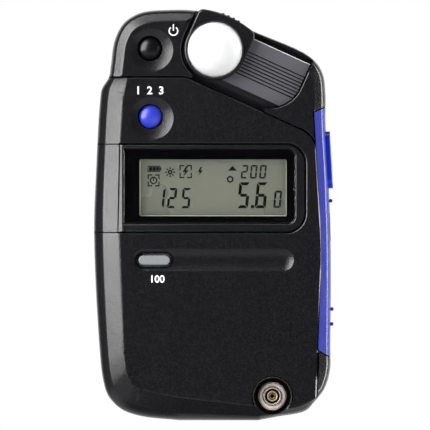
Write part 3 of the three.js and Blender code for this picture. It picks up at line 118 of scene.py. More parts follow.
white = add_node(air, "ShaderNodeBackground", in_Color=linear("#ffffff"), in_Strength=1.0)
seen = add_node(air, "ShaderNodeMixShader", [
    (white_share, 0), (dim.outputs[0], 1), (white.outputs[0], 2)])
add_node(air, "ShaderNodeOutputWorld", [(seen.outputs[0], "Surface")])
middle = Vector((0, 0, 0.055))


def softbox(name, azimuth, elevation, size, watts, distance=0.9, aim=middle):
    """A soft lamp about the meter, by degrees left of the camera and above the horizon."""
    lamp = bpy.data.lights.new(name, "AREA")
    lamp.shape = "RECTANGLE"
    lamp.size, lamp.size_y = size
    lamp.energy = watts
    stand = placed(name, lamp)
    a, e = math.radians(azimuth), math.radians(elevation)
    toward = Vector((-math.sin(a) * math.cos(e), -math.cos(a) * math.cos(e), math.sin(e)))
    stand.location = toward * distance + middle
    stand.rotation_euler = (aim - stand.location).to_track_quat("-Z", "Y").to_euler()
    return stand


upper_band = middle + Vector((0, 0, 0.015))
softbox("left_softbox", 57, 24, (0.84, 1.15), 22.0)
softbox("left_band_card", 66, 3, (0.05, 0.04), 0.06, 0.3, upper_band)
softbox("right_rim_strip", -111, 0, (0.34, 1.4), 14.0)
softbox("right_bounce", -48, -24, (1.1, 1.1), 11.5).visible_glossy = False
softbox("top_strip", 0, 86, (1.0, 0.22), 2.6)

# Front cover
# The lower front moulding: ABS, moulded with a fine spark-eroded grain, screwed on from behind.
# A broad flat bevel runs down its left side and turns under it, and its other edges are crisp.
body_width, body_height = 63.6, 109.7
half_width = body_width / 2
face_y, back_y, seam_depth = -11.0, 11.0, 10.0
seam_y = face_y + seam_depth
wall, gap, over = 1.8, 0.3, 2.0
tool_y = face_y - over
slide_angle = math.radians(24.5)
dome_x, dome_z = 0.54, 98.9
slide_along = (math.cos(slide_angle), -math.sin(slide_angle))
slide_across = (math.sin(slide_angle), math.cos(slide_angle))
head_edge = 8.95
# The outlines are (x, z) shares of half the body's width and of its height.
left_shares = [
    (-0.283, 0), (-0.604, 0.01), (-0.77, 0.027), (-0.881, 0.06), (-0.925, 0.1), (-0.959, 0.195),
    (-1, 0.456), (-0.981, 0.62), (-0.95, 0.7785), (-0.934, 0.808), (-0.874, 0.837), (-0.858, 0.866),
    (-0.827, 0.925), (-0.748, 0.968), (-0.607, 0.993), (-0.377, 1), (-0.1415, 0.998), (0.05, 0.984),
]
right_shares = [
    (0.921, 0.846), (0.9465, 0.793), (0.9465, 0.729), (0.972, 0.5925), (0.9906, 0.41), (0.987, 0.182),
    (0.984, 0.122), (0.934, 0.0757), (0.849, 0.0447), (0.78, 0.0235), (0.53, 0.0085), (0.377, 0),
]
face_left_shares = [
    (-0.283, 0.058), (-0.54, 0.074), (-0.66, 0.088), (-0.722, 0.112), (-0.742, 0.148),
    (-0.752, 0.2), (-0.783, 0.456), (-0.785, 0.62), (-0.757, 0.7785), (-0.738, 0.808),
    (-0.724, 0.837), (-0.718, 0.866),
]
face_base_shares = [
    (0.987, 0.182), (0.975, 0.13), (0.94, 0.09), (0.86, 0.058), (0.7075, 0.036), (0.535, 0.03),
    (0.377, 0.036),
]


def on_body(shares):
    return [(x * half_width, z * body_height) for x, z in shares]


def slide_point(u, v):
    """The (x, z) place of u along the slide and v across it."""
    return (dome_x + u * slide_along[0] + v * slide_across[0],
            dome_z + u * slide_along[1] + v * slide_across[1])


def smooth_outline(points, steps=6):
    """An open centripetal Catmull-Rom curve through the points."""
    first = tuple(2 * a - b for a, b in zip(points[0], points[1]))
    last = tuple(2 * a - b for a, b in zip(points[-1], points[-2]))
    padded = [first, *points, last]
    made = []
    for i in range(len(points) - 1):
        p = [Vector(q) for q in padded[i : i + 4]]
        t = [(p[k + 1] - p[k]).length ** 0.5 for k in range(3)]
        start = ((p[1] - p[0]) / t[0] - (p[2] - p[0]) / (t[0] + t[1]) + (p[2] - p[1]) / t[1]) * t[1]
        end = ((p[2] - p[1]) / t[1] - (p[3] - p[1]) / (t[1] + t[2]) + (p[3] - p[2]) / t[2]) * t[1]
        for step in range(steps + (i == len(points) - 2)):
            s = step / steps
            q = (p[1] + start * s + (3 * (p[2] - p[1]) - 2 * start - end) * s**2
                 + (2 * (p[1] - p[2]) + start + end) * s**3)
            made.append((q.x, max(q.y, 0)))
    return made


top_edge = [slide_point(7.5, head_edge), slide_point(24.0, head_edge)]
body_outline = smooth_outline(on_body(left_shares) + top_edge + on_body(right_shares))
face_outline = smooth_outline(
    on_body(face_left_shares) + on_body(left_shares[len(face_left_shares) :]) + top_edge
    + on_body(right_shares[: -len(face_base_shares)]) + on_body(face_base_shares))


def blended(a, b, share):
    return [(x + (p - x) * share, z + (q - z) * share) for (x, z), (p, q) in zip(a, b)]


def inset(outline, distance):
    """Moves each point of a clockwise outline square to its neighbours' line, inwards."""
    made = []
    for i, (x, z) in enumerate(outline):
        ax, az = outline[i - 1]
        bx, bz = outline[(i + 1) % len(outline)]
        length = math.hypot(bx - ax, bz - az)
        made.append((x + (bz - az) / length * distance, z - (bx - ax) / length * distance))
    return made


def eased(outline, passes):
    """Rounds tight bends by averaging each point with its neighbours."""
    for _ in range(passes):
        following = outline[1:] + outline[:1]
        outline = [tuple((a + 2 * b + c) / 4 for a, b, c in zip(outline[i - 1], q, following[i]))
                   for i, q in enumerate(outline)]
    return outline


def settled(mesh, merge=1e-7, slivers=False):
    """Merges a mesh's doubles and turns its normals outwards."""
    work = bmesh.new()
    work.from_mesh(mesh)
    if merge:
        bmesh.ops.remove_doubles(work, verts=work.verts, dist=merge)
    if slivers:
        bmesh.ops.dissolve_degenerate(work, edges=work.edges, dist=1e-8)
    bmesh.ops.recalc_face_normals(work, faces=work.faces)
    work.to_mesh(mesh)
    work.free()
    return mesh


def meshed(name, corners, faces, **settling):
    """An object from (x, y, z) corners in mm."""
    mesh = bpy.data.meshes.new(name)
    mesh.from_pydata([[c * MM for c in corner] for corner in corners], [], faces)
    return placed(name, settled(mesh, **settling))


def solid(name, rings):
    """A closed mesh object through rings of equal length, each a list of (x, y, z) in mm."""
    count = len(rings[0])
    corners = [corner for ring in rings for corner in ring]
    faces = [tuple(reversed(range(count))), tuple(range(len(corners) - count, len(corners)))]
    for r in range(len(rings) - 1):
        for i in range(count):
            a, b = r * count + i, r * count + (i + 1) % count
            faces.append((a, b, b + count, a + count))
    return meshed(name, corners, faces)


def loft(name, stations):
    """A solid through (y, outline) stations."""
    return solid(name, [[(x, y, z) for x, z in outline] for y, outline in stations])


def prism(outline, from_y, to_y, name="tool"):
    return loft(name, [(from_y, outline), (to_y, outline)])


def through(outline):
    """A tool that reaches through the whole front half."""
    return prism(outline, tool_y, seam_y + over)


def baked(thing):
    """Turns an object's modifiers into a plain mesh."""
    graph = bpy.context.evaluated_depsgraph_get()
    mesh = bpy.data.meshes.new_from_object(thing.evaluated_get(graph))
    old = thing.data
    thing.modifiers.clear()
    thing.data = mesh
    mesh.name = thing.name
    bpy.data.meshes.remove(old)
    return thing


def carved(base, cuts=(), keeps=(), joins=()):
    """Joins, keeps and cuts by other solids, which are used up."""
    jobs = [(tool, operation) for tools, operation in (
        (joins, "UNION"), (keeps, "INTERSECT"), (cuts, "DIFFERENCE")) for tool in tools]
    for tool, operation in jobs:
        step = base.modifiers.new("step", "BOOLEAN")
        step.object = tool
        step.operation = operation
        step.solver = "MANIFOLD"
    baked(base)
    for tool, _ in jobs:
        bpy.data.objects.remove(tool)
    return base


def bent(a, b, c, steps):
    """Points of the curve that leaves a towards b and ends at c."""
    return [tuple((1 - s) ** 2 * a[j] + 2 * s * (1 - s) * b[j] + s * s * c[j] for j in (0, 1))
            for s in (k / steps for k in range(steps + 1))]


def softened(corners):
    """A polygon whose corners, given as (x, z, cut back), are eased by curves."""
    made = []
    for i, (x, z, back) in enumerate(corners):
        if back == 0:
            made.append((x, z))
            continue
        px, pz, _ = corners[i - 1]
        nx, nz, _ = corners[(i + 1) % len(corners)]
        before, after = back / math.hypot(px - x, pz - z), back / math.hypot(nx - x, nz - z)
        made += bent((x + (px - x) * before, z + (pz - z) * before), (x, z),
                     (x + (nx - x) * after, z + (nz - z) * after), 10)
    return made


def arc(cx, cz, radius, start, end, steps=16):
    return [(cx + radius * math.cos(start + (end - start) * k / steps),
             cz + radius * math.sin(start + (end - start) * k / steps)) for k in range(steps + 1)]


def rounded(from_x, to_x, from_z, to_z, radius):
    q, steps = math.pi / 2, 12
    return (arc(to_x - radius, from_z + radius, radius, -q, 0, steps)
            + arc(to_x - radius, to_z - radius, radius, 0, q, steps)
            + arc(from_x + radius, to_z - radius, radius, q, 2 * q, steps)
            + arc(from_x + radius, from_z + radius, radius, 2 * q, 3 * q, steps))


def turned(profile, x, z, sides=96, name="tool"):
    """A profile of (radius, y) pairs, from axis to axis or closed on itself, turned about Y."""
    closed = profile[0] == profile[-1]
    points = profile[:-1] if closed else profile
    count, corners, faces = len(points), [], []
    for i in range(sides):
        angle = 2 * math.pi * i / sides
        corners += [(x + r * math.cos(angle), y, z + r * math.sin(angle)) for r, y in points]
        a, b = i * count, (i + 1) % sides * count
        for k in range(count if closed else count - 1):
            n = (k + 1) % count
            faces.append((a + k, a + n, b + n, b + k))
    return meshed(name, corners, faces, slivers=True)


def disc(radius, from_y, to_y, x, z):
    return turned([(0, from_y), (radius, from_y), (radius, to_y), (0, to_y)], x, z, 64)


def simplified(thing):
    """A thing's mesh, opened with its doubles merged and its flat neighbours joined."""
    work = bmesh.new()
    work.from_mesh(thing.data)
    bmesh.ops.remove_doubles(work, verts=work.verts, dist=2e-6)
    bmesh.ops.dissolve_limit(work, angle_limit=math.radians(0.4), verts=work.verts, edges=work.edges)
    return work


def bevelled(thing, width, segments, **settings):
    bevel = thing.modifiers.new("edges", "BEVEL")
    bevel.width = width * MM
    bevel.segments = segments
    for name, value in settings.items():
        setattr(bevel, name, value)


sharp_angle = math.radians(32)


def front_rounded(thing, width, deepest, spared=(), also=lambda x, y, z: False):
    """Rounds the sharp edges that border the front face, but for those near spared (x, z, radius)."""
    work = simplified(thing)
    weight = work.edges.layers.float.new("bevel_weight_edge")
    for edge in work.edges:
        near = all(v.co.y < (face_y + deepest) * MM for v in edge.verts)
        free = all(math.hypot(v.co.x / MM - x, v.co.z / MM - z) > radius
                   for v in edge.verts for x, z, radius in spared)
        extra = all(also(*(c / MM for c in v.co)) for v in edge.verts)
        if (near and free or extra) and len(edge.link_faces) == 2 and edge.calc_face_angle() > sharp_angle:
            edge[weight] = 1.0
    work.to_mesh(thing.data)
    work.free()
    bevelled(thing, width, 3, limit_method="WEIGHT", use_clamp_overlap=False)
    return baked(thing)


def edged(thing, width, segments=2):
    """Smooth shading with every sharp edge rounded a little, as moulded and turned edges are."""
    work = simplified(thing)
    work.to_mesh(thing.data)
    work.free()
    for face in thing.data.polygons:
        face.use_smooth = True
    bevelled(thing, width, segments, limit_method="ANGLE", angle_limit=sharp_angle, harden_normals=True)
    thing.modifiers.new("broad_faces_stay_flat", "WEIGHTED_NORMAL").keep_sharp = True
    return baked(thing)


def finished(thing, material, slot=None, node=None, body="meter_body"):
    """Gives a piece its finish and body, and hides the CAD node that it stands for."""
    thing.data.materials.clear()
    thing.data.materials.append(material)
    if node:
        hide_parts(node)
    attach(thing, body)
    return thing


def surface(name, base, roughness, **settings):
    """A material with one Principled shader, whose constant values sit on its own sockets."""
    made = bpy.data.materials.new(name)
    made.use_nodes = True
    tree = made.node_tree
    tree.nodes.clear()
    skin = add_node(
        tree, "ShaderNodeBsdfPrincipled", in_Base_Color=linear(base), in_Roughness=roughness, **settings)
    add_node(tree, "ShaderNodeOutputMaterial", [(skin.outputs[0], "Surface")])
    return made, tree, skin


def noise(tree, size, **settings):
    """The socket of a noise of the given size in mm."""
    place = add_node(tree, "ShaderNodeTexCoord")
    return add_node(
        tree, "ShaderNodeTexNoise", [(place.outputs["Object"], "Vector")], in_Scale=1 / (size * MM),
        **settings).outputs["Fac"]


def bumped(tree, skin, height, strength, distance):
    """Raises a skin by a height socket; the distance is in mm."""
    bump = add_node(
        tree, "ShaderNodeBump", [(height, "Height")], in_Strength=strength, in_Distance=distance * MM)
    tree.links.new(bump.outputs[0], skin.inputs["Normal"])


def grained(name, base, grain, height, roughness=0.42, patch_share=0.12, **settings):
    """A moulded skin: fine bumps of the given size in mm, and broad faint patches of polish."""
    made, tree, skin = surface(name, base, roughness, **settings)
    fine = noise(tree, grain, in_Detail=3.0, in_Roughness=0.6)
    bumped(tree, skin, fine, height, grain * 0.35)
    polish = remapped(tree, noise(tree, 9.0, in_Detail=4.0), (0.3, 0.7),
                      (roughness * (1 - patch_share), roughness * (1 + patch_share)))
    tree.links.new(polish, skin.inputs["Roughness"])
    return made


# The real grain is about 0.1 mm. It is drawn at 0.4 mm, so that a picture of the whole meter shows
# it, with scattered lighter grains, as its tops are worn bright.
dark_grain, worn_grain, worn_size = "#0e0e10", "#1a1a1d", 0.36
moulded_black = grained("abs_spark_eroded_black", dark_grain, 0.4, 0.45, 0.255, 0.04, in_IOR=1.58)
black_tree = moulded_black.node_tree
worn = remapped(black_tree, noise(black_tree, worn_size, in_Detail=1.0, in_Roughness=0.7), (0.42, 0.68))
grain_tone = add_node(black_tree, "ShaderNodeMix", [(worn, "Factor")], data_type="RGBA")
colour_a, colour_b, colour_out = grain_tone.inputs[6], grain_tone.inputs[7], grain_tone.outputs[2]
colour_a.default_value = linear(dark_grain)
colour_b.default_value = linear(worn_grain)
black_tree.links.new(colour_out, black_tree.nodes["Principled BSDF"].inputs["Base Color"])


def moulded(thing, width, node, body="meter_body"):
    """A piece of the black moulding, with its edges rounded."""
    return finished(edged(thing, width), moulded_black, "moulded_black", node, body)


# A profile is a list of (depth behind the face, share of the way in to the face's outline).
cover_edge = [
    (10.0, 0), (8.4, 0.012), (7.3, 0.035), (6.5, 0.06), (5.6, 0.105), (4.9, 0.155), (4.3, 0.208),
    (3.7, 0.27), (3.3, 0.315), (3.0, 0.352), (2.8, 0.383), (0.1, 0.978), (0.0, 1.0)]
cover_inner_edge = [(10.0, 0), (6.5, 0.06), (4.5, 0.19), (2.9, 0.36), (0, 1.0)]
side_edge = [(27.3, 0), (29.0, 46.07), (26.81, 83.92)]
cover_line_z = 91.49
slant_offset = 9.9
seam_wall = 1.4
display_low, display_high, display_right, display_corner = 50.4, 73.6, 24.4, 5.0
socket_x, socket_z, socket_recess, socket_floor, socket_shell = 15.8, 6.7, 4.87, 4.6, 1.2
dish_radius, dish_depth, key_radius = 5.65, 1.15, 3.05
collar_front, collar_back = face_y + 0.8, face_y + 3.0
mode_place, power_place, speed_place = (-16.3, 80.8), (-16.4, 98.9), (-15.6, 42.9)
# The photograph shows the two round keys a little left of and above their dishes' middles.
mode_cap, power_cap, dish_shift = (-16.7, 81.1), (-16.8, 99.2), 0.1
speed_size = (8.7, 2.9)
trough_left, trough_right, trough_low, trough_high = -21.6, 21.7, 39.8, 46.0
cover_rounding, bezel_rounding, head_rounding, carriage_rounding = 0.48, 0.28, 0.34, 0.2


def open_loft(name, first_y, stations):
    """A loft whose first station is drawn out to first_y."""
    return loft(name, [(first_y, stations[0][1]), *stations[1:]])


def cover_loft(thickness, back_most, profile, name="tool"):
    return open_loft(name, back_most, [
        (face_y + depth + thickness, inset(blended(body_outline, face_outline, share), thickness))
        for depth, share in profile])


def crossing(p, d, a, b):
    """Where the line from p along d meets the line through a and b."""
    ex, ez = b[0] - a[0], b[1] - a[1]
    along = ((a[0] - p[0]) * ez - (a[1] - p[1]) * ex) / (d[0] * ez - d[1] * ex)
    return (p[0] + d[0] * along, p[1] + d[1] * along)


def side_edge_at(z, grow):
    foot, belly, top = side_edge
    a, b = (foot, belly) if z < belly[1] else (belly, top)
    return (a[0] + grow + (b[0] - a[0]) * (z - a[1]) / (b[1] - a[1]), z)


def cover_shape(grow):
    belly, top = [(x + grow, z) for x, z in side_edge[1:]]
    far_left, line_z = -half_width - over, cover_line_z + grow
    start = slide_point(0, grow - slant_offset)
    left_end = crossing(start, slide_along, (0, line_z), (half_width, line_z))
    right_end = crossing(start, slide_along, belly, top)
    return softened([(far_left, -over, 0), (far_left, line_z, 0), (*left_end, 1.4), (*right_end, 4.5),
                     (*belly, 12), (*side_edge_at(-over, grow), 0)])


def right_rounded(left, right, low, high, corner):
    """A box with its two right corners rounded."""
    q = math.pi / 2
    return ([(left, low)] + arc(right - corner, low + corner, corner, -q, 0)
            + arc(right - corner, high - corner, corner, 0, q) + [(left, high)])


def display_shape(grow):
    return right_rounded(-half_width - over, display_right + grow, display_low - grow, display_high + grow,
                         display_corner + grow)


def dish(x, z):
    """A shallow conical dish for a fingertip."""
    profile = [
        (0, tool_y), (dish_radius + 0.9, tool_y), (dish_radius + 0.12, face_y - 0.05),
        (dish_radius, face_y + 0.06), (key_radius, face_y + dish_depth), (0, face_y + dish_depth)]
    return turned(profile, x + dish_shift, z - dish_shift)


def speed_shape(grow):
    x, z = speed_place
    half_x, half_z = speed_size[0] / 2 + grow, speed_size[1] / 2 + grow
    return rounded(x - half_x, x + half_x, z - half_z, z + half_z, half_z - 1e-4)


def finger_groove():
    """The long shallow trough that the film speed key lies in, with sloping sides."""
    half_z, deepest, steps = 3.1, 0.85, 10
    slopes = [(-over, over)] + [
        (deepest * (1 - (1 - k / steps) ** 2), -half_z * k / steps * 0.97) for k in range(steps + 1)]
    return loft("trough", [
        (face_y + depth, rounded(trough_left - grow, trough_right + grow, trough_low - grow,
                                 trough_high + grow, half_z + grow - 1e-4)) for depth, grow in slopes])


def right_chamfer(grow):
    """The ground right of the cover's right edge, moved by grow."""
    (foot_x, foot_z), (belly_x, belly_z), (top_x, top_z) = side_edge
    far = half_width + over
    return [(foot_x + grow - 0.1, foot_z - over), (far, foot_z - over), (far, top_z), (top_x + grow, top_z),
            (belly_x + grow, belly_z)]


front_cover = cover_loft(0, seam_y, cover_edge, "front_cover_shell")
carved(front_cover, keeps=[through(cover_shape(0))])
shell_room = carved(
    cover_loft(wall, seam_y + over, cover_inner_edge),
    keeps=[prism(cover_shape(-seam_wall), face_y, seam_y + 2 * over)],
    cuts=[disc(socket_recess + socket_shell, face_y + 1, face_y + socket_floor + socket_shell,
               socket_x, socket_z),
          disc(dish_radius, collar_front, collar_back, *mode_place),
          prism(speed_shape(seam_wall), collar_front, collar_back)])
socket_hole = turned([
    (0, tool_y), (socket_recess + 0.35, tool_y), (socket_recess + 0.35, face_y + 0.05),
    (socket_recess, face_y + 0.4), (socket_recess, face_y + socket_floor), (2.7, face_y + socket_floor),
    (2.7, seam_y), (0, seam_y)], socket_x, socket_z)
speed_pocket_grow, speed_pocket_depth = 0.85, 1.5
carved(front_cover, cuts=[
    shell_room,
    through(display_shape(gap)),
    finger_groove(),
    prism(speed_shape(speed_pocket_grow), tool_y, face_y + speed_pocket_depth),
    prism(speed_shape(gap), tool_y, seam_y),
    dish(*mode_place),
    disc(key_radius + gap, tool_y, seam_y, *mode_cap),
    socket_hole])
front_rounded(front_cover, cover_rounding, 0.6, [
    (*mode_place, 6.2), (*speed_place, 5.2), (socket_x, socket_z, 4.0), (20.6, 2.9, 1.5)])
# The right edge is chamfered steeply, so that it catches the strip light behind it.
carved(front_cover, cuts=[
    loft("chamfer", [(face_y - 0.5, right_chamfer(-0.72)), (face_y + 0.5, right_chamfer(0))])])
moulded(front_cover, 0.12, "front_cover")

# Display bezel
# A separate band of the same moulding, flush with the cover and parted from it by fine lines that
# run round the bevel. It holds the window in a ledge, and has the cover's own finish.
window_left, window_right, window_low, window_high, window_corner = -23.8, 21.8, 52.6, 72.5, 2.0
window_sink, window_thickness, ledge_width, ledge_thickness = 0.25, 1.2, 1.2, 0.9
bezel_thickness = window_sink + window_thickness + ledge_thickness
pane_back = face_y + window_sink + window_thickness
display_opening, opening_corner = (-19.5, 19.6, 54.6, 69.7), 0.4


def window_shape(grow):
    return right_rounded(window_left - grow, window_right + grow, window_low - grow, window_high + grow,
                         window_corner + grow)


bezel_frame = cover_loft(0, seam_y, cover_edge, "bezel_band")
carved(bezel_frame, keeps=[through(display_shape(0))], cuts=[
    cover_loft(bezel_thickness, seam_y + over, cover_inner_edge),
    prism(window_shape(gap / 2), tool_y, pane_back),
    prism(window_shape(-ledge_width), face_y, seam_y)])
front_rounded(bezel_frame, bezel_rounding, 0.3)
# Left of the window a dark groove parts the band from a slim ridge, which is chamfered to catch
# the light; the other edges of the bezel have a steep chamfer.
groove_line = []
for z, slant in ((display_low - over, -0.5), (display_high + over, 0.0)):
    inner, outer = -24.65 + slant, -24.95 + slant
    section = [(-24.1, -1.0), (-24.1, 0.0), (inner, 0.4), (inner, 1.1), (outer, 1.1), (outer, -1.0)]
    groove_line.append([(x, face_y + depth, z) for x, depth in section])
carved(bezel_frame, cuts=[solid("ridge_groove", groove_line)], keeps=[loft("chamfer", [
    (face_y - 0.5, display_shape(-0.55)), (face_y + 0.38, display_shape(0)),
    (seam_y + over, display_shape(0))])])
moulded(bezel_frame, 0.1, "bezel_frame")

# Display window and its printed mask
# A pane of hard-coated acrylic, let into the bezel. Its back is printed black but for the
# opening over the display, so it reads as one glossy black plate with a grey field in it.
acrylic, acrylic_tree, acrylic_skin = surface(
    "hard_coated_acrylic", "#ffffff", 0.03, in_Transmission_Weight=1.0, in_IOR=1.49)
way = add_node(acrylic_tree, "ShaderNodeLightPath")
unshaded = add_node(acrylic_tree, "ShaderNodeBsdfTransparent", in_Color=linear("#ffffff"))
shadowless = add_node(acrylic_tree, "ShaderNodeMixShader", [
    (way.outputs["Is Shadow Ray"], 0), (acrylic_skin.outputs[0], 1), (unshaded.outputs[0], 2)])
acrylic_tree.links.new(
    shadowless.outputs[0], acrylic_tree.nodes["Material Output"].inputs["Surface"])
printed_black, _, _ = surface("screen_printed_black", "#020203", 0.3, in_Specular_IOR_Level=0.02)
window_lens = prism(window_shape(0), face_y + window_sink, pane_back - 0.06, "window_pane")
finished(edged(window_lens, 0.35, 4), acrylic, "window_clear", "window_lens")
window_mask = prism(window_shape(0), pane_back - 0.05, pane_back - 0.01, "window_mask")
carved(window_mask, cuts=[prism(rounded(*display_opening, opening_corner), face_y, seam_y)])
finished(window_mask, printed_black)

# Head housing
# The upper moulding: the power key's block at the left, the ribbed bed that the diffuser slides
# over, and the right shoulder. Its rim has a narrow flat chamfer that catches the softbox.
front_edge_inset = 3.5
carriage_half_width, slide_travel, bed_depth, bed_facet_drop = 8.2, 16.1, 2.6, 1.1
bed_lower_edge, guide_inner, guide_outer, guide_depth, rim_drop = 6.5, 7.0, 8.2, 3.0, 1.6
recess_radius = carriage_half_width + 0.8
recess_foot = math.radians(16)
lens_tube_radius, bed_pitch, bed_groove_depth, bed_grooves = 4.65, 0.9, 0.4, 8
wing_top, control_y = 80.63, -3.4
cover_low, cover_high, cover_rise, cover_back_y, cover_thickness = 19.0, 82.1, 3.1, 5.0, 1.4
pocket_wall = 1.3
head_edge_profile = [
    (10.0, 0), (8.0, 0.008), (6.6, 0.025), (5.4, 0.055), (4.4, 0.095), (3.6, 0.135), (2.9, 0.185),
    (2.4, 0.235), (2.0, 0.29), (1.75, 0.335), (1.6, 0.37), (0.36, 0.83), (0.15, 0.91), (0.04, 0.965),
    (0, 1)]
head_inner_profile = [(10.0, 0), (6.0, 0.04), (3.4, 0.14), (2.0, 0.29), (1.1, 0.54), (0, 1)]
back_edge_inset = 2.7
back_edge_profile = [
    (0, 0), (0.6, 0), (0.68, 0.03), (0.75, 0.09), (0.81, 0.18), (0.867, 0.31), (0.91, 0.45),
    (0.945, 0.59), (0.97, 0.73), (0.99, 0.88), (1, 1)]
back_eased = eased(body_outline, 27)


def head_loft(thickness, back_most, profile, name="tool"):
    return open_loft(name, back_most, [
        (face_y + depth + thickness, inset(body_outline, share * front_edge_inset + thickness))
        for depth, share in profile])


def back_outline(share, distance):
    return inset(blended(body_outline, back_eased, min(2 * share, 1)), share * back_edge_inset + distance)


def body_loft(distance, name="tool"):
    """The whole body's form, drawn in by a distance."""
    front = [(face_y + depth, inset(body_outline, share * front_edge_inset + distance))
             for depth, share in head_edge_profile]
    back = [(seam_y + share * (back_y - seam_y), back_outline(turn, distance))
            for share, turn in back_edge_profile[1:]]
    return loft(name, front[::-1] + back)


def side_shape(grow, from_z, to_z, rise):
    """The ground right of the side edge between two heights, with slanted ends."""
    belly, far = side_edge[1], half_width + over
    return softened([(*side_edge_at(from_z, grow), 0), (belly[0] + grow, belly[1], 12),
                     (*side_edge_at(to_z, grow), 0), (far, to_z + rise, 0), (far, from_z - rise, 0)])


def wing_shape(grow, extra=0.0):
    return through(side_shape(grow, -1, wing_top + extra, 0))


def side_cover_shape(grow):
    return side_shape(-grow, cover_low - grow, cover_high + grow, cover_rise)


def side_pocket():
    return carved(prism(side_cover_shape(gap), tool_y, cover_back_y + gap),
                  cuts=[body_loft(cover_thickness + gap)])


def pocket_backing():
    return carved(prism(side_cover_shape(wall), tool_y, cover_back_y + wall),
                  cuts=[body_loft(cover_thickness + gap + pocket_wall)])


def slide_prism(points, from_y, to_y):
    return prism([slide_point(u, v) for u, v in points], from_y, to_y)


def slide_rail(section, from_u, to_u, name="tool"):
    """A section of (v, depth behind the face) pairs taken along the slide."""
    rings = []
    for u in (from_u, to_u):
        places = [(*slide_point(u, v), depth) for v, depth in section]
        rings.append([(x, face_y + depth, z) for x, z, depth in places])
    return solid(name, rings)


def recess_shape(grow):
    """The slide's recess: half round at both ends and open at the top."""
    radius, low, top = recess_radius + grow, -slant_offset - over, head_edge + over
    foot = radius * math.sin(recess_foot)
    return ([(-radius, top)] + arc(0, 0, radius, math.pi, 1.5 * math.pi - recess_foot, 32)
            + [(-foot, low), (slide_travel + foot, low)]
            + arc(slide_travel, 0, radius, recess_foot - math.pi / 2, 0, 32)
            + [(slide_travel + radius, top)])


def repeated(source, name, count, step):
    """Copies of a solid in a row, laid out by geometry nodes and then made plain mesh."""
    tree = bpy.data.node_groups.new(name, "GeometryNodeTree")
    tree.interface.new_socket("Geometry", in_out="OUTPUT", socket_type="NodeSocketGeometry")
    row = add_node(tree, "GeometryNodeMeshLine", in_Count=count, in_Offset=[c * MM for c in step])
    item = add_node(tree, "GeometryNodeObjectInfo", in_Object=source)
    copies = add_node(tree, "GeometryNodeInstanceOnPoints", [
        (row.outputs[0], "Points"), (item.outputs["Geometry"], "Instance")])
    real = add_node(tree, "GeometryNodeRealizeInstances", [(copies.outputs[0], 0)])
    add_node(tree, "NodeGroupOutput", [(real.outputs[0], 0)])
    holder = placed(name, bpy.data.meshes.new(name))
    holder.modifiers.new(name, "NODES").node_group = tree
    baked(holder)
    bpy.data.objects.remove(source)
    return holder


bed_back, bed_end = 7.6, 13
facet_depth, rim_depth = bed_depth + bed_facet_drop, bed_depth + rim_drop
slide_end = slide_travel + recess_radius
head_housing = head_loft(0, seam_y, head_edge_profile, "head_housing_shell")
room = carved(head_loft(wall, seam_y + over, head_inner_profile), cuts=[
    prism(cover_shape(gap + seam_wall), tool_y, face_y + bed_depth + 3.2),
    slide_prism(recess_shape(wall), face_y, face_y + bed_depth + wall),
    slide_rail([(5.0, bed_depth), (11.0, bed_depth), (11.0, 6.6), (5.0, 6.6)], -10.8, 26.9),
    disc(dish_radius, collar_front, collar_back, *power_place),
    pocket_backing()])
bed = slide_rail([
    (-14, bed_back), (-14, facet_depth), (-slant_offset, facet_depth), (-bed_lower_edge, bed_depth),
    (guide_inner, bed_depth), (guide_inner, rim_depth), (bed_end, rim_depth), (bed_end, bed_back)], -18, 34)
recess = carved(slide_prism(recess_shape(0), tool_y, face_y + facet_depth + over), cuts=[bed])
first_v, groove_half = -(bed_grooves - 1) * bed_pitch / 2, 0.15
groove = slide_rail([
    (first_v - groove_half, bed_depth), (first_v - groove_half, bed_depth - 0.4),
    (first_v + groove_half, bed_depth - 0.4), (first_v + groove_half, bed_depth),
    (first_v, bed_depth + bed_groove_depth)], lens_tube_radius + wall, slide_end)
across_step = (slide_across[0] * bed_pitch, 0, slide_across[1] * bed_pitch)
grooves = repeated(groove, "bed_grooves", bed_grooves, across_step)
undercut, guide_floor, undercut_front = guide_inner - 0.8, 5.6, 4.4
guide = slide_rail([
    (guide_inner, bed_depth - over), (guide_outer, bed_depth - over), (guide_outer, guide_floor),
    (undercut, guide_floor), (undercut, undercut_front), (guide_inner, undercut_front)],
    -recess_radius, slide_end)
moat_width, moat_depth = 0.42, 0.9
moat = carved(slide_prism(recess_shape(0), face_y, face_y + bed_depth + moat_depth),
              cuts=[slide_prism(recess_shape(-moat_width), face_y - 1, face_y + bed_depth + 2)])
carved(head_housing, cuts=[
    room,
    through(cover_shape(gap)),
    recess,
    moat,
    wing_shape(0, gap),
    guide,
    grooves,
    disc(lens_tube_radius + gap / 2, face_y, seam_y, dome_x, dome_z),
    dish(*power_place),
    disc(key_radius + gap, tool_y, seam_y, *power_cap),
    side_pocket()])


def bed_border(x, y, z):
    """The long edges of the slanted bed, at the guide and over the lower facet."""
    v = (x - dome_x) * slide_across[0] + (z - dome_z) * slide_across[1]
    return abs(y - face_y - bed_depth) < 0.03 and (
        abs(v - guide_inner) < 0.05 or abs(v + bed_lower_edge) < 0.05)


front_rounded(head_housing, head_rounding, 0.6, [(*power_place, 6.2), (14.0, 83.2, 1.4)], bed_border)
moulded(head_housing, 0.12, "head_housing")
# The bed's flat faces are painted greyer than the grain round it, a painted sheen for the light they reflect,
# with smoother bumps.
head_housing.data.materials.append(grained("abs_burnished_bed", "#525257", 0.4, 0.1, 0.36))
# Faces at the bed's level take the painted sheen.
for face in head_housing.data.polygons:
    if abs(face.center.y / MM - face_y - bed_depth) < 0.02 and abs(face.normal.y) > 0.9:
        face.material_index = 1
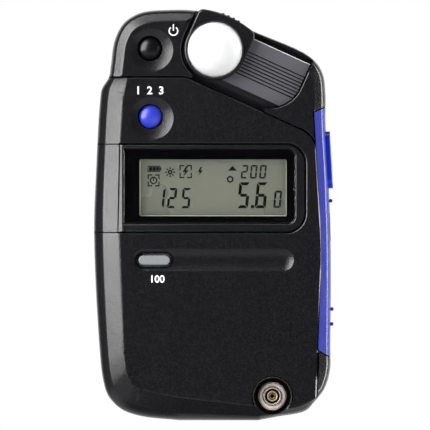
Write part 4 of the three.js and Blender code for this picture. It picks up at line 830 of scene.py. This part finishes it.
# A light strip along the bed's edge at the guide is a painted highlight.
lip_low, lip_high, lip_front, lip_back = (
    guide_inner - 0.26, guide_inner - 0.04, bed_depth - 0.06, bed_depth + 0.3)
bed_lip = slide_rail([(lip_low, lip_front), (lip_high, lip_front), (lip_high, lip_back),
                      (lip_low, lip_back)], -4, slide_end - 0.5, "bed_lip")
finished(bed_lip, grained("abs_rubbed_bright", "#c2c2c6", 0.3, 0.05, 0.3))

# Rear case
# The back half of the body, in the same grained ABS. It wraps forward along the right side as a
# slim wing, and is recessed for the battery lid, the strap bar and the heads of four screws.
cell_radius, bay_play, lid_half, lid_rail, lid_thickness, rail_thickness = 7.1, 0.4, 8.2, 1.1, 1.8, 0.8
lid_y = back_y - lid_thickness
cell_y, cell_z = lid_y - gap - cell_radius, 0.1969 * body_height
bay_left, bay_right, bay_wall, bay_end_wall = -25.4, 28.4, 1.2, 1.5
bay_half = cell_radius + bay_play
lid_right = bay_right + gap
strap_z, strap_length, strap_depth, strap_slot = 37.0, 9.0, 4.2, 3.4
measure_z, measure_length, measure_width, measure_corner = 69.6, 15.2, 6.4, 2.6
rocker_z, rocker_length, rocker_width = 51.6, 7.4, 5.2
screw_places = [(-23.4, 94.0), (25.3, 87.4), (-26.2, 45.0), (24.8, 36.0)]
screw_head, screw_head_height = 1.9, 1.3
case_head_y = back_y - screw_head_height - gap
outside = half_width + over


def back_loft(thickness, front_most, name="tool"):
    return open_loft(name, front_most, [
        (seam_y + share * (back_y - seam_y) - thickness, back_outline(turn, thickness))
        for share, turn in back_edge_profile])


def block(from_x, to_x, from_y, to_y, z, half, name="tool"):
    """A box that reaches half above and half below z."""
    low, high = z - half, z + half
    return prism([(from_x, low), (to_x, low), (to_x, high), (from_x, high)], from_y, to_y, name)


def side_prism(points, from_x, to_x, name="tool"):
    """A (y, z) outline taken across the body."""
    return solid(name, [[(x, y, z) for y, z in points] for x in (from_x, to_x)])


def cell_rod(radius, margin, end_margin):
    """A rod round the battery cell's axis, as long as its bay and the margins."""
    ring = arc(cell_y, cell_z, radius, 0, 2 * math.pi, 64)[:-1]
    return side_prism(ring, bay_left - margin, bay_right + end_margin)


def flank_shape(z, length, width, corner, grow):
    half, side = length / 2 + grow, width / 2 + grow
    return rounded(control_y - side, control_y + side, z - half, z + half, corner + grow)


def measure_shape(grow):
    return flank_shape(measure_z, measure_length, measure_width, measure_corner, grow)


def rocker_shape(grow):
    return flank_shape(rocker_z, rocker_length, rocker_width, rocker_width / 2 - 1e-4, grow)


def flank_holes():
    return [side_prism(shape(gap), 0, outside) for shape in (measure_shape, rocker_shape)]


def flank_x(z, side):
    """The outline's x at a height, on the side whose sign is given."""
    for (ax, az), (bx, bz) in zip(body_outline, body_outline[1:]):
        if bx * side > 0 and (az - z) * (bz - z) <= 0 and az != bz:
            return ax + (bx - ax) * (z - az) / (bz - az)


rear_case = back_loft(0, seam_y, "rear_case_shell")
wing = carved(head_loft(0, seam_y + wall, head_edge_profile), keeps=[wing_shape(gap)],
              cuts=[through(cover_shape(gap))])
strap_inner = flank_x(strap_z, -1) + strap_depth
strap_front = seam_y + wall
strap_back = strap_front + strap_slot
hollow = carved(back_loft(wall, seam_y - over), cuts=[
    pocket_backing(),
    block(bay_left - bay_wall, bay_right + bay_end_wall, cell_y, back_y, cell_z, 9),
    cell_rod(bay_half + bay_wall, bay_wall, bay_end_wall),
    block(-outside, lid_right + wall, lid_y - bay_wall, back_y, cell_z, 11),
    block(-outside, strap_inner + wall, strap_front - wall, strap_back + wall, strap_z, 6.3)])
carved(rear_case, joins=[wing], cuts=[hollow])
bay_shell = carved(cell_rod(bay_half + bay_wall, bay_wall, bay_end_wall),
                   keeps=[cover_loft(wall + gap, back_y, cover_inner_edge)])
bay = carved(cell_rod(bay_half, 0, 0), keeps=[cover_loft(wall + gap + bay_wall, back_y, cover_inner_edge)])
lid_slot = lid_half + gap
carved(rear_case, joins=[bay_shell], cuts=[
    bay,
    block(bay_left, bay_right, cell_y, back_y + over, cell_z, bay_half),
    block(-outside, lid_right, lid_y - gap, back_y + over, cell_z, lid_slot),
    block(-outside, lid_right, lid_y - gap, lid_y + rail_thickness + gap, cell_z, lid_slot + lid_rail),
    block(-outside, strap_inner, strap_front, strap_back, strap_z, strap_length / 2),
    side_pocket(),
    *flank_holes(),
    *[disc(screw_head + gap, case_head_y, back_y + over, x, z) for x, z in screw_places]])
moulded(rear_case, 0.18, "rear_case")

# Side cover
# A thin blue moulding let into a pocket along the right flank. Its ends slant, and three small
# pips beside the keys guide a fingertip.
satin_blue = grained("abs_pigmented_blue", "#1e278a", 0.4, 0.12, 0.38, in_Coat_Weight=0.15)
pip_radius, pip_proud = 0.5, 0.3
side_cover = body_loft(0, "side_cover_skin")
carved(side_cover, keeps=[prism(side_cover_shape(0), tool_y, cover_back_y)],
       cuts=[body_loft(cover_thickness)])
pips = []
for z in (58.7, 29.8, 25.8):
    centre = [c * MM for c in (flank_x(z, 1) + pip_proud, control_y, z)]
    bpy.ops.mesh.primitive_uv_sphere_add(
        radius=pip_radius * MM, segments=24, ring_count=16, location=centre)
    bpy.ops.object.transform_apply(location=True)
    pips.append(bpy.context.object)
carved(side_cover, joins=pips, cuts=flank_holes())
finished(edged(side_cover, 0.12), satin_blue, "satin_blue", "side_cover")

# Battery lid
# It slides out to the left on two rails, with five grooves for the thumb moulded across its end.
grip_x, grip_pitch, grip_width, grip_depth, grip_count = -22.0, 1.8, 0.8, 0.35, 5
battery_cover = block(-outside, bay_right, lid_y, back_y + over, cell_z, lid_half, "battery_lid_plate")
grip = block(grip_x, grip_x + grip_width, back_y - grip_depth, back_y + over, cell_z, lid_half / 2)
carved(battery_cover, keeps=[back_loft(0, seam_y)],
       cuts=[repeated(grip, "lid_grips", grip_count, (grip_pitch, 0, 0))],
       joins=[block(-outside, bay_right, lid_y, lid_y + rail_thickness, cell_z, lid_half + lid_rail)])
moulded(battery_cover, 0.15, "battery_cover", "battery_lid")

# Slider carriage
# The plate that carries the dome: half round below, arched above, with four grip ridges for the
# thumb over its top edge and an L-shaped tongue that runs in the guide's undercut.
carriage_reach, carriage_end_reach, carriage_corner, carriage_edge, carriage_sink = (
    9.55, 8.2, 1.2, 0.45, 0.1)
dome_radius, dome_height, dome_wall, dome_flange, dome_seat = 7.3, 6.8, 1.1, 0.35, -9.8
ridge_radius, ridge_proud, ridge_pitch, ridge_count, ridge_start = 0.35, 0.25, 1.5, 4, -1.9


def top_reach(u):
    """How far the arched top reaches at u."""
    return carriage_reach - (carriage_reach - carriage_end_reach) * (u / carriage_half_width) ** 2


def carriage_shape(grow):
    half, end = carriage_half_width + grow, carriage_end_reach + grow
    shoulder = half - carriage_corner
    reach = top_reach(shoulder) + grow
    crown = 2 * (carriage_reach + grow) - reach
    points = [(half, 0), (half, end - carriage_corner)]
    for turn, to, steps in (((half, end), (shoulder, reach), 12), ((0, crown), (-shoulder, reach), 32),
                            ((-half, end), (-half, end - carriage_corner), 12)):
        points += bent(points[-1], turn, to, steps)[1:]
    points += arc(0, 0, half, math.pi, 2 * math.pi, 64)[:-1]
    return [slide_point(u, v) for u, v in points]


bed_y = face_y + bed_depth
carriage_front = face_y + carriage_sink
slider_carriage = loft("carriage_plate", [
    (bed_y - gap, carriage_shape(0)), (carriage_front + carriage_edge, carriage_shape(0)),
    (carriage_front + 0.12, carriage_shape(-0.16)), (carriage_front, carriage_shape(-carriage_edge))])
back_depth, tongue_foot = bed_depth - gap, bed_depth + guide_depth - gap
tongue_inner, tongue_toe = guide_inner + gap, guide_inner - 0.5
tongue = slide_rail([
    (tongue_inner, back_depth - 1), (guide_outer - gap, back_depth - 1),
    (guide_outer - gap, tongue_foot), (tongue_toe, tongue_foot),
    (tongue_toe, tongue_foot - 0.6), (tongue_inner, tongue_foot - 0.6)], -6, 6)
ridges = []
for i in range(ridge_count):
    u = ridge_start + i * ridge_pitch
    reach = top_reach(u) + ridge_proud
    ridges.append(slide_rail([
        (carriage_reach - 0.7, carriage_sink + 0.3), (reach - 0.12, carriage_sink + 0.55),
        (reach, carriage_sink + 0.9), (reach, bed_depth - 0.6), (carriage_reach - 0.7, back_depth)],
        u - ridge_radius, u + ridge_radius))
bore_radius, flange_room = dome_radius + 0.15, dome_radius + 0.5
bore = turned([
    (0, tool_y), (dome_radius + 0.55, tool_y), (bore_radius, carriage_front + 0.35),
    (bore_radius, dome_seat), (flange_room, dome_seat), (flange_room, bed_y), (0, bed_y)],
    dome_x, dome_z, 128)
carved(slider_carriage, joins=[tongue, *ridges], cuts=[bore])
front_rounded(slider_carriage, carriage_rounding, 0.7)
moulded(slider_carriage, 0.1, "slider_carriage", "diffuser_head")

# Diffuser dome and its ring
# A hollow half shell of opal acrylic that gathers light from the whole hemisphere: satin outside,
# and bright all over because light scatters through its wall. A black ring clamps its flange.
opal, opal_tree, opal_skin = surface(
    "opal_acrylic", "#fdfdfc", 0.38, in_Subsurface_Weight=1.0, in_Subsurface_Scale=1.0,
    in_Subsurface_Radius=(4.0 * MM, 4.0 * MM, 3.9 * MM))
bumped(opal_tree, opal_skin, noise(opal_tree, 0.3), 0.06, 0.05)


def quarter(radius, height, steps=32):
    """A quarter ellipse of (radius, y) from the dome's top to its seat."""
    turns = [k / steps * math.pi / 2 for k in range(steps + 1)]
    return [(radius * math.sin(t), dome_seat - height * math.cos(t)) for t in turns]


inner_radius, flange_radius, flange_back = dome_radius - dome_wall, dome_radius + dome_flange, dome_seat + 0.6
diffuser_dome = turned([
    *quarter(dome_radius, dome_height), (flange_radius, dome_seat), (flange_radius, flange_back),
    (inner_radius, flange_back), *quarter(inner_radius, dome_height - dome_wall)[::-1]],
    dome_x, dome_z, 128, "opal_dome")
finished(edged(diffuser_dome, 0.05), opal, "milk_white", "diffuser_dome", "diffuser_head")

# Front keys
# Two round keys with a high crown stand in fingertip dishes, and an oblong one lies in a finger
# groove. The power key is gloss black, the mode key blue and the film speed key light grey.
gloss_black, _, _ = surface("abs_polished_black", "#0b0b0d", 0.3)
key_blue = grained("abs_key_blue", "#2c38b4", 0.3, 0.08, 0.33, in_IOR=1.6)
key_grey = grained("abs_key_grey", "#7e8183", 0.3, 0.12, 0.4)
crown_radius, flange_reach, stem_radius = 3.9, 3.8, 1.2
flange_front, flange_foot, stem_foot = -7.85, -7.15, -6.85
crown_step, crown_steps = 0.29, 11


def round_key(name, place):
    """A key turned from its crown in, with a flange behind the cover and a stem."""
    top = face_y + 0.25
    crown = [(r, top + crown_radius - math.sqrt(crown_radius**2 - r**2))
             for r in (k * crown_step for k in range(crown_steps))]
    return turned([
        *crown, (2.98, top + 1.4), (key_radius, top + 1.52), (key_radius, flange_front),
        (flange_reach, flange_front), (flange_reach, flange_foot), (stem_radius, flange_foot),
        (stem_radius, stem_foot), (0, stem_foot)], *place, 96, name)


power_button = edged(round_key("power_key_cap", power_cap), 0.06)
finished(power_button, gloss_black, "gloss_black", "power_button", "power_key")
mode_button = edged(round_key("mode_key_cap", mode_cap), 0.06)
finished(mode_button, key_blue, "key_blue", "mode_button", "mode_key")
speed_top = face_y + 0.2
speed_button = loft("film_speed_cap", [(y, speed_shape(-slimmer)) for y, slimmer in (
    (flange_foot, 0.16), (speed_top + 0.55, 0.16), (speed_top + 0.3, 0.22), (speed_top + 0.1, 0.36),
    (speed_top, 0.6))])
carved(speed_button, joins=[prism(speed_shape(0.75), flange_front, flange_foot - 0.01),
                            disc(stem_radius, -7.3, stem_foot, *speed_place)])
finished(edged(speed_button, 0.08), key_grey, "key_grey", "film_speed_button", "film_speed_key")

# Side keys
# The measuring key is the one pressed for every reading, a long pillow of deep blue. Below it a
# black rocker tips on a steel pin to step the values up and down.
deep_blue = grained("abs_deep_blue", "#1430b4", 0.3, 0.08, 0.3, in_Coat_Weight=0.2)
measure_proud, rocker_proud, flange_grow = 1.1, 0.06, 0.9
stem_length, stem_front, stem_back, stem_half = 4.25, -6.35, -4.55, 0.9
rocker_depth, pin_inset, pin_hole_radius = 4.6, 3.1, 0.85
seat = cover_thickness + gap + pocket_wall + gap / 2
measure_button = carved(side_prism(measure_shape(0), 0, outside + over, "measure_key_cap"),
                        keeps=[body_loft(-measure_proud)])
flange = carved(side_prism(measure_shape(flange_grow), 0, outside), keeps=[body_loft(seat)])
carved(measure_button, joins=[flange], cuts=[body_loft(seat + 1)])
carved(measure_button, joins=[block(
    flank_x(measure_z, 1) - stem_length, half_width - seat - 1, stem_front, stem_back, measure_z,
    stem_half)])
finished(edged(measure_button, 0.7, 5), deep_blue, "deep_blue", "measure_button", "measure_key")
rocker_right = flank_x(rocker_z, 1)
rocker_rounding = 0.35
value_rocker = side_prism(rocker_shape(0), rocker_right - rocker_depth, outside, "rocker_cap")
pin_bore = turned([(0, -8), (pin_hole_radius, -8), (pin_hole_radius, 1), (0, 1)],
                  rocker_right - pin_inset, rocker_z)
carved(value_rocker, keeps=[body_loft(-rocker_proud)], cuts=[pin_bore])
finished(edged(value_rocker, rocker_rounding, 4), moulded_black, "moulded_black", "value_rocker", "rocker")

# Liquid crystal display
# A reflective twisted-nematic panel: grey-green behind its front polariser, with near-black
# segments a hair above the field. The figures are plain numbers and generic pictograms.
lcd, lcd_tree, lcd_skin = surface("lcd_reflective_field", "#5a5c52", 0.28)
sheen = remapped(lcd_tree, noise(lcd_tree, 12, in_Detail=2.0), (0.3, 0.7), (0.25, 0.33))
lcd_tree.links.new(sheen, lcd_skin.inputs["Roughness"])
segment_black, _, _ = surface("lcd_dark_segment", "#060709", 0.4, in_Specular_IOR_Level=0.1)
glass_x, glass_z, glass_front, glass_thickness, glass_half_width, glass_half = 0.4, 62.1, -8.35, 1.9, 21, 9.3
display_panel = block(glass_x - glass_half_width, glass_x + glass_half_width, glass_front,
                      glass_front + glass_thickness, glass_z, glass_half, "lcd_glass")
finished(edged(display_panel, 0.1), lcd, "display_grey", "display_panel")


def flat_shapes(name, shapes, y):
    """Thin plates from (x, z) outlines, all in one mesh: printed or etched marks."""
    corners, faces = [], []
    for outline in shapes:
        start, count = len(corners), len(outline)
        back = start + count
        corners += [(x, level, z) for level in (y - 0.03, y) for x, z in outline]
        faces += [tuple(range(start, back)), tuple(reversed(range(back, back + count)))]
        for i in range(count):
            n = (i + 1) % count
            faces.append((start + i, back + i, back + n, start + n))
    return meshed(name, corners, faces, merge=0)


# Segments lit for each figure: top, upper right, lower right, bottom, lower left, upper left, middle
lit_segments = {"0": "111111 ", "1": " 11    ", "2": "11 11 1", "5": "1 11 11", "6": "1 11111"}


def figure(digit, x, z, width, height, t):
    """A slanted seven-segment figure with mitred ends and strokes t wide, by its lower left."""
    half, clear, slant = height / 2, t * 0.22, 0.1
    right, top, low, high = width - t, height - t, half - t / 2, half + t / 2
    head = [(clear, height), (width - clear, height), (right, top), (t, top)]
    side = [(width, height - clear), (width, half + clear), (width - t / 2, half + clear), (right, high),
            (right, top - clear)]
    foot, lower = ([(px, height - pz) for px, pz in plate] for plate in (head, side))
    left, left_lower = ([(width - px, pz) for px, pz in plate] for plate in (side, lower))
    dash = [(t * 0.6, half), (t, high), (right, high), (width - t * 0.6, half), (right, low), (t, low)]
    return [[(x + px + pz * slant, z + pz) for px, pz in plate]
            for plate, state in zip([head, side, lower, foot, left_lower, left, dash], lit_segments[digit])
            if state == "1"]


def number(text, x, z, width, height, stroke, pitch=0.0):
    return [plate for i, digit in enumerate(text)
            for plate in figure(digit, x + i * pitch, z, width, height, stroke)]


def bar(x, z, width, height):
    return [[(x, z), (x + width, z), (x + width, z + height), (x, z + height)]]


def frame_shapes(x, z, width, height, stroke, broken=0.0):
    """A box outline, in corner pieces where it is broken."""
    shapes, part, tall = [], (width - broken) / 2, (height - broken) / 2 - stroke
    for low in (z, z + height - stroke):
        shapes += bar(x, low, part, stroke) + bar(x + part + broken, low, part, stroke)
    for left in (x, x + width - stroke):
        low = z + stroke
        shapes += bar(left, low, stroke, tall) + bar(left, low + tall + broken, stroke, tall)
    return shapes


def ring_shapes(x, z, outer, inner, start=0.0, end=2 * math.pi, steps=24):
    outside, inside = (arc(x, z, radius, start, end, steps) for radius in (outer, inner))
    return [[outside[k], outside[k + 1], inside[k + 1], inside[k]] for k in range(steps)]


def bolt(x, z, size):
    """A flash symbol: a bent arrow."""
    shape = [(0.55, 1.0), (0.12, 0.45), (0.42, 0.45), (0.2, 0.0), (0.85, 0.62), (0.5, 0.62), (0.8, 1.0)]
    return [[(x + px * size * 0.8, z + pz * size) for px, pz in shape]]


def sun(x, z, size):
    shapes = ring_shapes(x, z, size * 0.48, size * 0.2)
    near, far, w = size * 0.64, size, size * 0.12
    for k in range(8):
        c, s = math.cos(k * math.pi / 4), math.sin(k * math.pi / 4)
        shapes.append([(x + c * r - s * q, z + s * r + c * q)
                       for r, q in ((near, w), (far, w), (far, -w), (near, -w))])
    return shapes


marks_y = glass_front - 0.02
segments = [
    *number("1", -15.45, 56.7, 2.35, 5.4, 0.62), *number("25", -12.3, 56.7, 2.3, 5.4, 0.62, 3.75),
    *number("56", 6.35, 56.7, 2.95, 6.9, 0.8, 4.7), *bar(10.1, 56.7, 0.85, 0.85),
    *number("0", 16.0, 56.8, 2.0, 4.6, 0.55), *number("200", 7.35, 64.6, 1.75, 3.6, 0.45, 2.45),
    *frame_shapes(-17.4, 66.4, 3.3, 1.6, 0.22), *bar(-14.05, 66.8, 0.3, 0.8),
    *bar(-17.0, 66.7, 0.85, 1.0), *bar(-16.05, 66.7, 0.85, 1.0), *bar(-15.1, 66.7, 0.7, 1.0),
    *frame_shapes(-17.4, 62.5, 3.2, 3.2, 0.32, 0.7), *ring_shapes(-15.8, 64.1, 1.0, 0.68),
    *bar(-15.93, 64.0, 0.26, 0.8), *sun(-11.4, 66.3, 1.3),
    *frame_shapes(-8.9, 64.7, 3.3, 3.5, 0.32, 0.7), *bolt(-8.35, 65.1, 2.8), *bolt(-4.3, 65.3, 2.4),
    [(4.0, 66.7), (6.4, 66.7), (5.2, 68.0)], *ring_shapes(4.6, 64.4, 0.9, 0.5)]
# Light strips on three sides of the field are a painted highlight of the polariser's cut edge; the top side
# has none, where the mask would shade it.
painted_strip_highlight = grained("polariser_cut_edge", "#bcbfb0", 0.3, 0.05, 0.4)
rim_z, rim_width, rim_height = 54.62, 0.17, 14.7
finished(flat_shapes("polariser_edge", [
    *bar(-19.48, rim_z, rim_width, rim_height), *bar(19.4, rim_z, rim_width, rim_height),
    *bar(-19.3, rim_z, 38.7, rim_width)], marks_y), painted_strip_highlight)
finished(flat_shapes("lcd_segments", segments, marks_y), segment_black)

# Printed marks
# White pad-printed marks sit a few hundredths above the plastic: the standby sign by the power key,
# and plain figures where the meter names its keys.
print_white = grained("pad_print_white", "#e9e9ec", 0.2, 0.05, 0.5)
power_sign = ring_shapes(-10.5, 103.8, 1.3, 0.98, math.radians(125), math.radians(415), 28)
power_sign += bar(-10.66, 103.9, 0.32, 1.65)
finished(flat_shapes("standby_mark", power_sign, face_y - 0.01), print_white)


def lettered(name, text, size, x, z):
    """Plain figures as a thin mesh, centred on x and z and facing the front."""
    curve = bpy.data.curves.new(name, "FONT")
    curve.body = text
    curve.size = size * MM
    curve.extrude = 0.015 * MM
    curve.offset = size * 0.022 * MM
    curve.align_x, curve.align_y = "CENTER", "CENTER"
    curve.resolution_u = 6
    source = placed(name + "_curve", curve)
    graph = bpy.context.evaluated_depsgraph_get()
    mesh = bpy.data.meshes.new_from_object(source.evaluated_get(graph))
    bpy.data.objects.remove(source)
    place = Matrix.Translation([c * MM for c in (x, face_y - 0.02, z)])
    mesh.transform(place @ Matrix.Rotation(math.pi / 2, 4, "X"))
    finished(placed(name, settled(mesh)), print_white)


lettered("mode_figures", "1  2  3", 2.9, -16.8, 87.9)
lettered("speed_figures", "100", 2.7, -14.85, 37.8)


# Sync socket
# A flash lead's coaxial socket: a turned nut with six slight flats and a barrel, nickel plated and
# dulled by the tool's rings, a thin inner sleeve, and a gold plated contact split into four springs.
def metal(name, base, roughness, ring_pitch, ring_height, centre=(0, 0, 0), metallic=1.0):
    """Turned metal: rings about the part's own axis vary its height and polish."""
    made, tree, skin = surface(name, base, roughness, in_Metallic=metallic)
    place = add_node(tree, "ShaderNodeTexCoord")
    own = add_node(tree, "ShaderNodeVectorMath", [(place.outputs["Object"], 0)], operation="SUBTRACT")
    own.inputs[1].default_value = [c * MM for c in centre]
    rings = add_node(
        tree, "ShaderNodeTexWave", [(own.outputs[0], "Vector")], wave_type="RINGS", rings_direction="Y",
        in_Scale=0.32 / (ring_pitch * MM), in_Distortion=1.2, in_Detail_Scale=2.0).outputs["Fac"]
    bumped(tree, skin, rings, ring_height, ring_pitch * 0.3)
    polish = remapped(tree, rings, (0.0, 1.0), (roughness * 0.8, roughness * 1.25))
    tree.links.new(polish, skin.inputs["Roughness"])
    return made


socket_centre = (socket_x, 0, socket_z)
dull_nickel = metal("nickel_turned_dull", "#f0e2d9", 0.5, 0.28, 0.15, socket_centre, 0.6)
bright_nickel = metal("nickel_bright", "#e6dcd4", 0.4, 0.2, 0.1, socket_centre, 0.75)
gold = metal("gold_plate", "#f0c468", 0.3, 0.2, 0.1, socket_centre, 0.8)
nut_front, nut_floor, corner_radius, slit_half = -8.6, face_y + socket_floor, 4.3, 0.11
hexagon = arc(socket_x, socket_z, corner_radius, 0, 2 * math.pi, 6)[:-1]
slits = [block(socket_x - half_x, socket_x + half_x, -9.2, -6, socket_z, half_z)
         for half_x, half_z in ((slit_half, 1), (1, slit_half))]
socket_parts = {
    "nut": ([(2.55, nut_front + 0.15), (2.75, nut_front), (3.35, nut_front), (3.8, nut_front + 0.45),
             (3.8, nut_floor), (2.55, nut_floor)], 96, 0.06, dull_nickel, "nickel"),
    "barrel": ([(1.95, -9.0), (2.1, -9.3), (2.3, -9.3), (2.4, -9.15), (2.4, -2.9), (1.95, -2.9)],
               96, 0.04, bright_nickel, "nickel"),
    "sleeve": ([(1.0, -8.55), (1.12, -8.7), (1.3, -8.7), (1.4, -8.58), (1.4, -4.4), (1.0, -4.4)],
               72, 0.03, bright_nickel, "nickel"),
    "contact": ([(0.52, -8.9), (0.57, -9.0), (0.72, -9.0), (0.8, -8.9), (0.8, -4.4), (0.52, -4.4)],
                48, 0.03, gold, "gold"),
}
for name, (profile, sides, edge, material, slot) in socket_parts.items():
    tube = turned([*profile, profile[0]], socket_x, socket_z, sides, f"socket_{name}")
    if name == "nut":
        carved(tube, keeps=[prism(hexagon, nut_front - 1, nut_floor + 1)])
    if name == "contact":
        carved(tube, cuts=slits)
    finished(edged(tube, edge), material, slot, f"sync_socket_{name}")

# Screws
# Four self-tapping case screws stand in counterbores in the back, cross-recessed and blackened,
# and two smaller ones hold the circuit board.
black_steel = metal("steel_blackened", "#4a4b4e", 0.35, 0.25, 0.25)
screw_length, thread_pitch, threads, core_radius, thread_radius = 14.0, 1.1, 10, 0.72, 0.9
tip, top = case_head_y - screw_length, case_head_y + screw_head_height
cross_floor, cross_reach, cross_half = case_head_y + screw_head_height * 0.35, screw_head * 0.58, 0.24
screw_profile = [(0, tip), (0.35, tip), (thread_radius, tip + 0.9)]
for k in range(threads):
    y = tip + 1.0 + k * thread_pitch
    screw_profile += [(core_radius, y + 0.1), (thread_radius, y + 0.45), (thread_radius, y + 0.55),
                      (core_radius, y + 0.9)]
screw_profile += [
    (0.8, case_head_y), (screw_head, case_head_y), (screw_head, case_head_y + screw_head_height * 0.45),
    (screw_head * 0.86, case_head_y + screw_head_height * 0.85), (screw_head * 0.55, top), (0, top)]
for index, (x, z) in enumerate(screw_places, 1):
    screw = turned(screw_profile, x, z, 40, f"case_screw_{index}_turned")
    carved(screw, cuts=[block(x - half_x, x + half_x, cross_floor, top + 1, z, half_z)
                        for half_x, half_z in ((cross_reach, cross_half), (cross_half, cross_reach))])
    finished(edged(screw, 0.05), black_steel, "screw_steel", f"case_screw_{index}")

# Inside
# What the bay and the seams give a glimpse of keeps the CAD form, each with its own finish: the
# green circuit board and its switches, the wrapped cell, plated springs and the light sensor.
inside = {
    "moulded_black": (moulded_black, "dome_ring lens_tube"),
    "tray_white": (grained("abs_tray_white", "#e4e4e0", 0.5, 0.1), "display_tray"),
    "strip_rubber": (grained("silicone_striped_grey", "#8f8f92", 0.3, 0.2),
                     "upper_contact_strip lower_contact_strip"),
    "board_green": (grained("solder_mask_green", "#1c5634", 1.2, 0.1), "main_board"),
    "chip_black": (grained("epoxy_black", "#17171a", 0.25, 0.15), "processor photodiode"),
    "switch_metal": (metal("tinned_steel", "#a9abae", 0.35, 0.6, 0.1),
                     "power_switch mode_switch film_speed_switch measure_switch up_switch down_switch"),
    "lens_glass": (grained("moulded_lens", "#c9cfcc", 2.0, 0.02, 0.08), "reflected_lens"),
    "cell_wrap": (grained("shrink_wrap_grey", "#6d7076", 3.0, 0.05, 0.25), "battery_cell"),
    "nickel": (metal("nickel_plated_spring", "#c4c2bd", 0.28, 0.5, 0.1),
               "battery_spring spring_plate positive_contact"),
    "insulator": (grained("nylon_black", "#101012", 0.3, 0.1), "sync_socket_insulator"),
    "steel": (metal("steel_drawn", "#8e9094", 0.3, 0.4, 0.15), "strap_bar rocker_pin"),
    "screw_steel": (black_steel, "board_screw_1 board_screw_2"),
}
for slot, (material, names) in inside.items():
    for name in names.split():
        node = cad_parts[name]
        node.data.materials.clear()
        node.data.materials.append(material)
